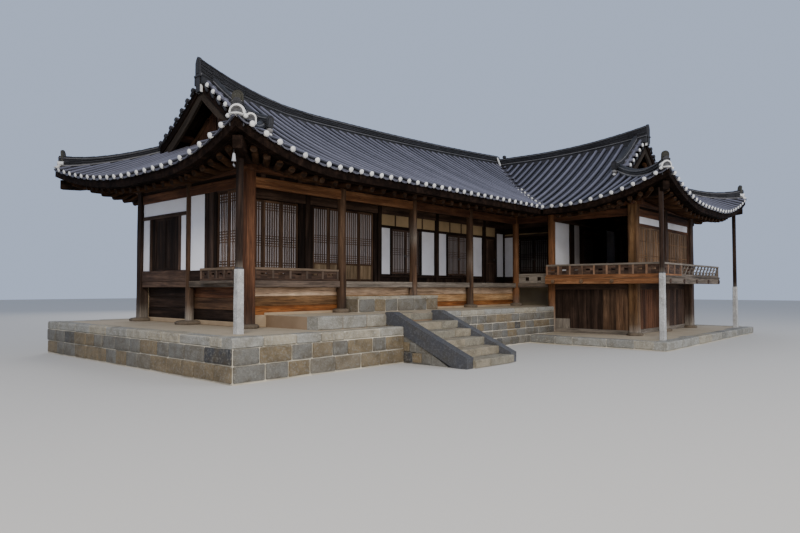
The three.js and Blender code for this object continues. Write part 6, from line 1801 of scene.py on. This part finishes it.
def pavilion():
    piece = Piece("pavilion_timber_frame")
    xs = [WING_X, WING_MID_X, RIGHT_X]
    for x, y, *look in ((WING_X, WING_BACK_Y, 0.11, False, ORANGE_WOOD, 0.9, 0.8),
                        (WING_X, WING_FRONT_Y, 0.12, True, BOARD_WOOD, 0.9, 0.3),
                        (WING_MID_X, WING_FRONT_Y, 0.1, True, WOOD, 0.9, 0.35),
                        (RIGHT_X, WING_FRONT_Y, 0.12, True, WOOD, 1.0, 0.45)):
        post(piece, x, y, PLATFORM_Z, *look)
    for x in xs:
        base_stone(piece, x, WING_FRONT_Y, PLATFORM_Z, 0.22)
    side = Face(piece, 1, WING_X, -1)
    side.floor_beam(WING_BACK_Y + COLUMN, -COLUMN, GREY_WOOD)
    for a, b in ((WING_FRONT_Y + COLUMN, WING_BACK_Y - COLUMN), (WING_BACK_Y + COLUMN, -COLUMN)):
        side.head(a, b, RED_WOOD)
        side.blocks(a, b, 3, 0.004)
    side.both(WING_FRONT_Y + 0.12, WING_BACK_Y - 0.1, DECK_LOW_Z, DECK_UNDER_Z, 0.06, RED_WOOD)
    side.wall_top([WING_FRONT_Y, -2.5, -1.2, -0.1], inner_z)
    side.purlin(WING_FRONT_Y - 0.25, -0.05, 6, RED_WOOD, tone=0.5)
    end = Face(piece, 0, WING_FRONT_Y, -1)
    jamb = 0.22
    for a, b in pairs(xs):
        left, right = a + COLUMN, b - COLUMN
        end.both(left, right, DECK_LOW_Z, DECK_UNDER_Z, 0.06, WOOD)
        end.head(left, right, RED_WOOD)
        end.uprights(DECK_Z, LINTEL_Z, (left, a + jamb, 0.04, RED_WOOD), (b - jamb, right, 0.04, RED_WOOD))
        end.both(a + jamb, b - jamb, 3.16, 3.23, 0.05, RED_WOOD)
        end.panel(a + jamb, b - jamb, 3.23, LINTEL_Z)
    end.wall_top([WING_X, 11, 13, RIGHT_X], wing_front_z)
    end.purlin(WING_X - 0.25, RIGHT_X + 0.25, 6, RED_WOOD)
    piece.make("timber", ["pavilion_frame"])
    for k, (u0, u1) in enumerate(((WING_X + 0.221, WING_MID_X - 0.201), (WING_MID_X + 0.201, RIGHT_X - 0.221)), 1):
        leaves(f"end_shutters_{k}", "dark_timber", f"pavilion_shutters_{k}", (0, WING_FRONT_Y, -1),
               (u0, (u0 + u1) / 2, u1), lattice_shutter, DECK_Z + 0.003, 3.158)

    piece = Piece("pavilion_back_timber_wall")
    plane = (0, WING_BACK_Y, -1)
    face = Face(piece, *plane)
    x0, x1 = WING_X + 0.11, RIGHT_X - 0.1
    d0, d1 = 11.70, 13.30
    face.wall_top([x0, 10.8, RIDGE_X, 13, x1], lambda x, y: (inner_z if x < RIDGE_X else outer_z)(x, y), LINTEL_Z,
                  0.035)
    face.rails(x0, x1, (PLATFORM_Z, DECK_LOW_Z, 0.035, DARK_WOOD), (DECK_LOW_Z, BENCH_Z, 0.05, DARK_WOOD),
               (LINTEL_Z, 3.60, 0.06, WOOD))
    face.panel(x0, 10.72, BENCH_Z, LINTEL_Z)
    face.both(10.72, 11.02, BENCH_Z, LINTEL_Z, 0.06, DARK_WOOD, True)
    # This panel takes the darker copy of the plaster as painted shade.
    face.panel(11.02, 11.42, BENCH_Z, LINTEL_Z, SHADED_WALL)
    face.uprights(BENCH_Z, LINTEL_Z, (11.42, d0, 0.045, DARK_WOOD), (d1, 13.40, 0.05, DARK_WOOD))
    face.rails(d0, d1, (3.10, LINTEL_Z, 0.045, DARK_WOOD), (3.20, 3.28, 0.06, WOOD),
               (DECK_Z, DECK_Z + 0.06, 0.05, DARK_WOOD))
    face.panel(13.40, x1, BENCH_Z, LINTEL_Z)
    piece.make("timber", ["pavilion_back_wall"])
    leaves("pavilion_inner_leaves", "dark_timber", "pavilion_inner_doors", plane, (d0, 12.50, d1), lattice,
           DECK_Z + 0.061, 3.099, 0.3, DARK_WOOD, 8, paper=DARK_PAPER)


def lattice_shutter(face, u0, u1, z0, z1):
    """A boarded shutter with thin battens over its upper part."""
    plank_leaf(face, u0, u1, z0, z1, CUT_WOOD, 3, rails=False)
    stile, half = 0.055, 0.011
    left, right = u0 + stile, u1 - stile
    for u in np.linspace(left, right, 5)[1:-1]:
        face.box(u - half, u + half, z0 + stile, z1 - stile, 0.004, 0.019, BOARD_WOOD, True, chamfer=0.002)
    for z in (z0 + 0.5, z0 + 0.56, z0 + 0.95):
        face.box(left, right, z, z + 0.02, 0.004, 0.0185, BOARD_WOOD, chamfer=0.002)


# Floors


def strips(first, last, pitch, width, end):
    """Where the boards of a floor lie, the last one cut at the end."""
    return [(a, min(a + width, end)) for a in np.arange(first, last, pitch)]


def floors():
    piece = Piece("veranda_boards_floor")
    edge, wall_x = 0.11, WING_INNER_X - 0.085
    for a, b in strips(edge, WING_INNER_X - 0.1, 0.2, 0.197, wall_x):
        piece.box(a, b, edge, 1.13, BASE_Z, FLOOR_Z + random.uniform(-0.003, 0.0), GREY_WOOD, axis=1, chamfer=0.004)
    for a, b in strips(WING_BACK_Y + edge, edge, 0.2, 0.197, edge):
        piece.box(WING_X + edge, wall_x, a, b, BASE_Z, FLOOR_Z + random.uniform(-0.003, 0.0), GREY_WOOD, chamfer=0.004)
    piece.make("timber", ["veranda_floor"])
    piece = Piece("room_floor_boards")
    for a, b in strips(edge, RIGHT_X - 0.12, 0.35, 0.348, RIGHT_X - edge):
        front = INNER_Y if b < WING_INNER_X + 0.3 else WING_BACK_Y
        piece.box(a, b, front + 0.08, BACK_Y - edge, BASE_Z, FLOOR_Z, WOOD, axis=1, chamfer=0.003)
    piece.make("timber", ["room_floor"])

    piece = Piece("balcony_floor")
    x0, x1, y0, y1 = BALCONY_X, RIGHT_X, BALCONY_Y, WING_BACK_Y - 0.045
    for a, b in strips(x0, x1 - 0.05, 0.21, 0.207, x1):
        back = y1 if b < RIGHT_X - 0.06 else WING_FRONT_Y - 0.125
        piece.box(a, b, y0 + 0.04, back, DECK_UNDER_Z, DECK_Z + random.uniform(-0.003, 0), GREY_WOOD, axis=1,
                  chamfer=0.004)
    trim_z, beam_z = DECK_UNDER_Z + 0.01, DECK_LOW_Z + 0.07
    piece.box(x0, x0 + 0.09, y0, y1, DECK_LOW_Z, trim_z, ORANGE_WOOD, axis=1, tone=0.7)
    piece.box(x0, x1, y0, y0 + 0.09, DECK_LOW_Z, trim_z, GREY_WOOD, tone=0.7)
    piece.box(x0 - 0.012, x0 + 0.1, y0 - 0.012, y1, trim_z, DECK_Z + 0.004, ORANGE_WOOD, axis=1)
    piece.box(x0 - 0.012, x1, y0 - 0.014, y0 + 0.1, trim_z, DECK_Z + 0.003, GREY_WOOD)
    for x in np.linspace(x0 + 0.6, x1 - 0.08, 5):
        piece.pole([(x, y0 - 0.02, beam_z), (x, WING_FRONT_Y - 0.06, beam_z)], 0.06, WOOD, 12)
    for y in np.linspace(WING_FRONT_Y + 0.4, WING_BACK_Y - 0.3, 3):
        piece.pole([(x0 - 0.03, y, beam_z), (WING_X - 0.06, y, beam_z)], 0.06, ORANGE_WOOD, 12)
        piece.pole([(x0 - 0.033, y, beam_z), (x0 - 0.02, y, beam_z)], 0.057, CUT_WOOD, 12)
    piece.make("orange_timber", ["pavilion_floor"])


# Railings


FOOT_RAIL, TOP_RAIL, RAIL_POST = 0.045, 0.05, 0.05


def slotted_panel(face, u0, u1, z0, z1, material):
    """A thin board with a long slot cut through it."""
    middle, half = (u0 + u1) / 2, (u1 - u0) * 0.42 / 2
    level, opening, deep = (z0 + z1) / 2 + 0.01, 0.036, 0.012
    for a, b, low, high in ((u0, middle - half, z0, z1), (middle + half, u1, z0, z1),
                            (middle - half, middle + half, z0, level - opening / 2),
                            (middle - half, middle + half, level + opening / 2, z1)):
        face.both(a, b, low, high, deep, material, chamfer=0)


def slot_rail(face, u0, u1, z0, z1, bays, post_wood, rail_wood, worn):
    """A rail with posts and slotted boards between them."""
    half = 0.03
    face.both(u0, u1, z0, z0 + FOOT_RAIL, half, post_wood, chamfer=0.004)
    face.both(u0, u1, z1 - TOP_RAIL, z1, half + 0.01, rail_wood, chamfer=0.008, worn=worn)
    edges = np.linspace(u0, u1 - RAIL_POST, bays + 1)
    for a in edges:
        face.both(a, a + RAIL_POST, z0 + 0.04, z1 - 0.045, half - 0.002, post_wood, True, chamfer=0.003,
                  worn=worn * 0.6)
    for a, b in pairs(edges):
        slotted_panel(face, a + RAIL_POST, b, z0 + FOOT_RAIL, z1 - TOP_RAIL, WOOD)


def fret_rail(face, u0, u1, z0, z1, cells):
    """The fretted stretch of the balcony rail: slanting bars with short cross pieces."""
    low, high = z0 + FOOT_RAIL, z1 - TOP_RAIL
    face.both(u0, u1, z0, low, 0.03, GREY_WOOD, chamfer=0.004)
    face.both(u0, u1, high, z1, 0.04, GREY_WOOD, chamfer=0.008, worn=0.5)
    for a, b in pairs(np.linspace(u0, u1, cells + 1)):
        bars = [((a + 0.01, low), (b - 0.01, high), 0.034, 0.03)]
        for share, reach in ((0.3, -0.5), (0.7, 0.5)):
            u, z = a + (b - a) * share, low + (high - low) * share
            bars.append(((u, z), (u + reach * (b - a) * 0.9, z), 0.03, 0.026))
        for start, end, width, height in bars:
            face.piece.beam(face.spot(*start, 0), face.spot(*end, 0), width, height, GREY_WOOD, 0.002, worn=0.2)
        middle = (a + b) / 2
        face.both(middle - 0.013, middle + 0.013, low, (low + high) / 2, 0.011, GREY_WOOD, True, chamfer=0.002)
    for u in (u0, u1 - RAIL_POST):
        face.both(u, u + RAIL_POST, low, high + 0.003, 0.028, GREY_WOOD, True, chamfer=0.003)


def railings():
    low_rail = BEAM_TOP_Z, BEAM_TOP_Z + 0.255
    piece = Piece("front_rail")
    slot_rail(Face(piece, 0, 0.0, -1), 0.11, BAY - 0.11, *low_rail, 5, WOOD, CUT_WOOD, 0.25)
    piece.make("timber", ["front_railing"])
    piece = Piece("left_rail")
    slot_rail(Face(piece, 1, -0.12, -1), 0.29, 1.47, *low_rail, 4, WOOD, CUT_WOOD, 0.2)
    piece.make("timber", ["left_railing"])
    piece = Piece("balcony_rail")
    x0, y0, split = BALCONY_X + 0.05, BALCONY_Y + 0.05, 10.75
    high_rail = DECK_Z, DECK_Z + 0.337
    slot_rail(Face(piece, 1, x0, -1), y0 - 0.03, WING_BACK_Y - 0.065, *high_rail, 9, ORANGE_WOOD, GREY_WOOD, 0.5)
    front = Face(piece, 0, y0, -1)
    slot_rail(front, x0 - 0.03, split, *high_rail, 3, ORANGE_WOOD, GREY_WOOD, 0.5)
    fret_rail(front, split, RIGHT_X, *high_rail, 11)
    piece.make("orange_timber", ["balcony_railing"])
    piece = Piece("veranda_end_board")
    face = Face(piece, 1, WING_X, -1)
    y0, y1, z0, z1 = WING_BACK_Y + 0.12, -0.11, BEAM_TOP_Z, SILL_Z + 0.06
    cuts = (-0.86, -0.73), (-0.46, -0.33)
    cut_low, cut_high = 1.69, 1.80
    solid = [(y0, cuts[0][0], z0, z1), (cuts[0][1], cuts[1][0], z0, z1), (cuts[1][1], y1, z0, z1)]
    for a, b in cuts:
        solid += [(a, b, z0, cut_low), (a, b, cut_high, z1)]
    for row in solid:
        face.both(*row, 0.016, GREY_WOOD, chamfer=0, worn=0.85, tone=0.7)
    face.both(y0, y1, z1 - 0.045, z1, 0.026, GREY_WOOD, worn=0.8)
    piece.make("timber", ["veranda_end_panel"])


# Props under the roof's corners


def props():
    """Square posts on stone feet, between the ground and the corners of the roof."""
    shape = [(-1, -0.8), (-0.8, -1), (0.8, -1), (1, -0.8), (1, 0.8), (0.8, 1), (-0.8, 1), (-1, 0.8)]
    for name, x, y, foot, top, height in (
            ("left", -0.958, -1.110, LOWER_Z, 1.79, front_z), ("wing_left", 8.577, -4.741, PLATFORM_Z, 1.84, inner_z),
            ("wing_right", 15.150, -4.741, PLATFORM_Z, 1.52, outer_z)):
        piece = Piece("prop_" + name)
        rings = []
        for z in np.linspace(foot, top, 9):
            half = 0.068 - 0.006 * (z - foot) / (top - foot)
            rings.append([(x + half * a + random.uniform(-0.002, 0.002),
                           y + half * b + random.uniform(-0.002, 0.002), z) for a, b in shape])
        piece.loft(rings, PALE_STONE, tone=0.5)
        post(piece, x, y, top, 0.047, True, DARK_WOOD, 0.3, 0.15, top=height(x, y) - 0.36)
        piece.box(x - 0.05, x + 0.05, y - 0.05, y + 0.05, top - 0.002, top + 0.03, IRON, axis=2, chamfer=0.002)
        piece.make("pale_stone", ["corner_post_" + name])


def wind_bell():
    """The bell under the left corner, with its fish-shaped plate."""
    piece = Piece("wind_bell")
    x, y = EAVE_LEFT + 0.117, EAVE_FRONT + 0.209
    top = front_z(x, y) - 0.30
    bell = top - 0.24
    piece.pole([(x, y, top), (x, y, bell)], 0.0045, IRON, 8)
    levels = [(0.0, 0.008), (0.012, 0.020), (0.05, 0.026), (0.10, 0.031), (0.135, 0.038)]
    piece.pole([(x, y, bell - d) for d, _ in levels], [r for _, r in levels], BRONZE, 14)
    piece.pole([(x, y, bell - 0.13), (x, y, bell - 0.19)], 0.003, IRON, 6)
    fish = [(-0.055, 0.0), (-0.03, 0.022), (0.015, 0.025), (0.04, 0.004), (0.065, 0.026), (0.065, -0.026),
            (0.04, -0.004), (0.015, -0.022), (-0.03, -0.022)]
    piece.loft([[(x + a * 0.75, y + a * 0.66 + d, bell - 0.20 + b) for a, b in fish] for d in (-0.003, 0.003)], BRONZE)
    piece.make("pale_stone")


for slot in bpy.data.objects["room_base"].material_slots:
    slot.material = SAND

for build in (front_frame, skirts, inner_wall, wing_wall, left_side, back_side, right_side, pavilion, floors, railings,
              props, wind_bell):
    build()


# Studio


def area_light(name, place, target, size, power, color):
    data = bpy.data.lights.new(name, "AREA")
    data.shape, data.energy, data.color = "RECTANGLE", power, color
    data.size, data.size_y = size
    light = bpy.data.objects.new(name, data)
    bpy.context.scene.collection.objects.link(light)
    light.location = place
    light.rotation_euler = (Vector(target) - Vector(place)).to_track_quat("-Z", "Y").to_euler()


def studio():
    mesh = bpy.data.meshes.new("studio_floor")
    mesh.from_pydata([(-60, -60, 0), (80, -60, 0), (80, 80, 0), (-60, 80, 0)], [], [(0, 1, 2, 3)])
    floor = bpy.data.objects.new("studio_floor", mesh)
    bpy.context.scene.collection.objects.link(floor)
    s = Shader("studio_floor")
    mesh.materials.append(s.finish((0.55, 0.52, 0.47, 1), 0.9, 0.2))
    world = bpy.data.worlds.new("studio")
    bpy.context.scene.world = world
    world.use_nodes = True
    background = world.node_tree.nodes["Background"]
    background.inputs["Color"].default_value = (0.60, 0.71, 0.95, 1)
    background.inputs["Strength"].default_value = 0.75
    for name, place, target, size, power, color in (
            ("key", (-14, -16, 15), (5, 0, 2), (9, 9), 4600, (1.0, 0.95, 0.87)),
            ("fill", (14, -20, 9), (8, 0, 2), (12, 8), 1300, (0.95, 0.97, 1.0)),
            ("front", (-6, -24, 3.5), (5, 0, 2), (16, 6), 1500, (1.0, 0.96, 0.92)),
            ("back", (16, 24, 13), (6, 3, 2), (12, 8), 1500, (1.0, 0.97, 0.93))):
        area_light(name, place, target, size, power, color)


studio()
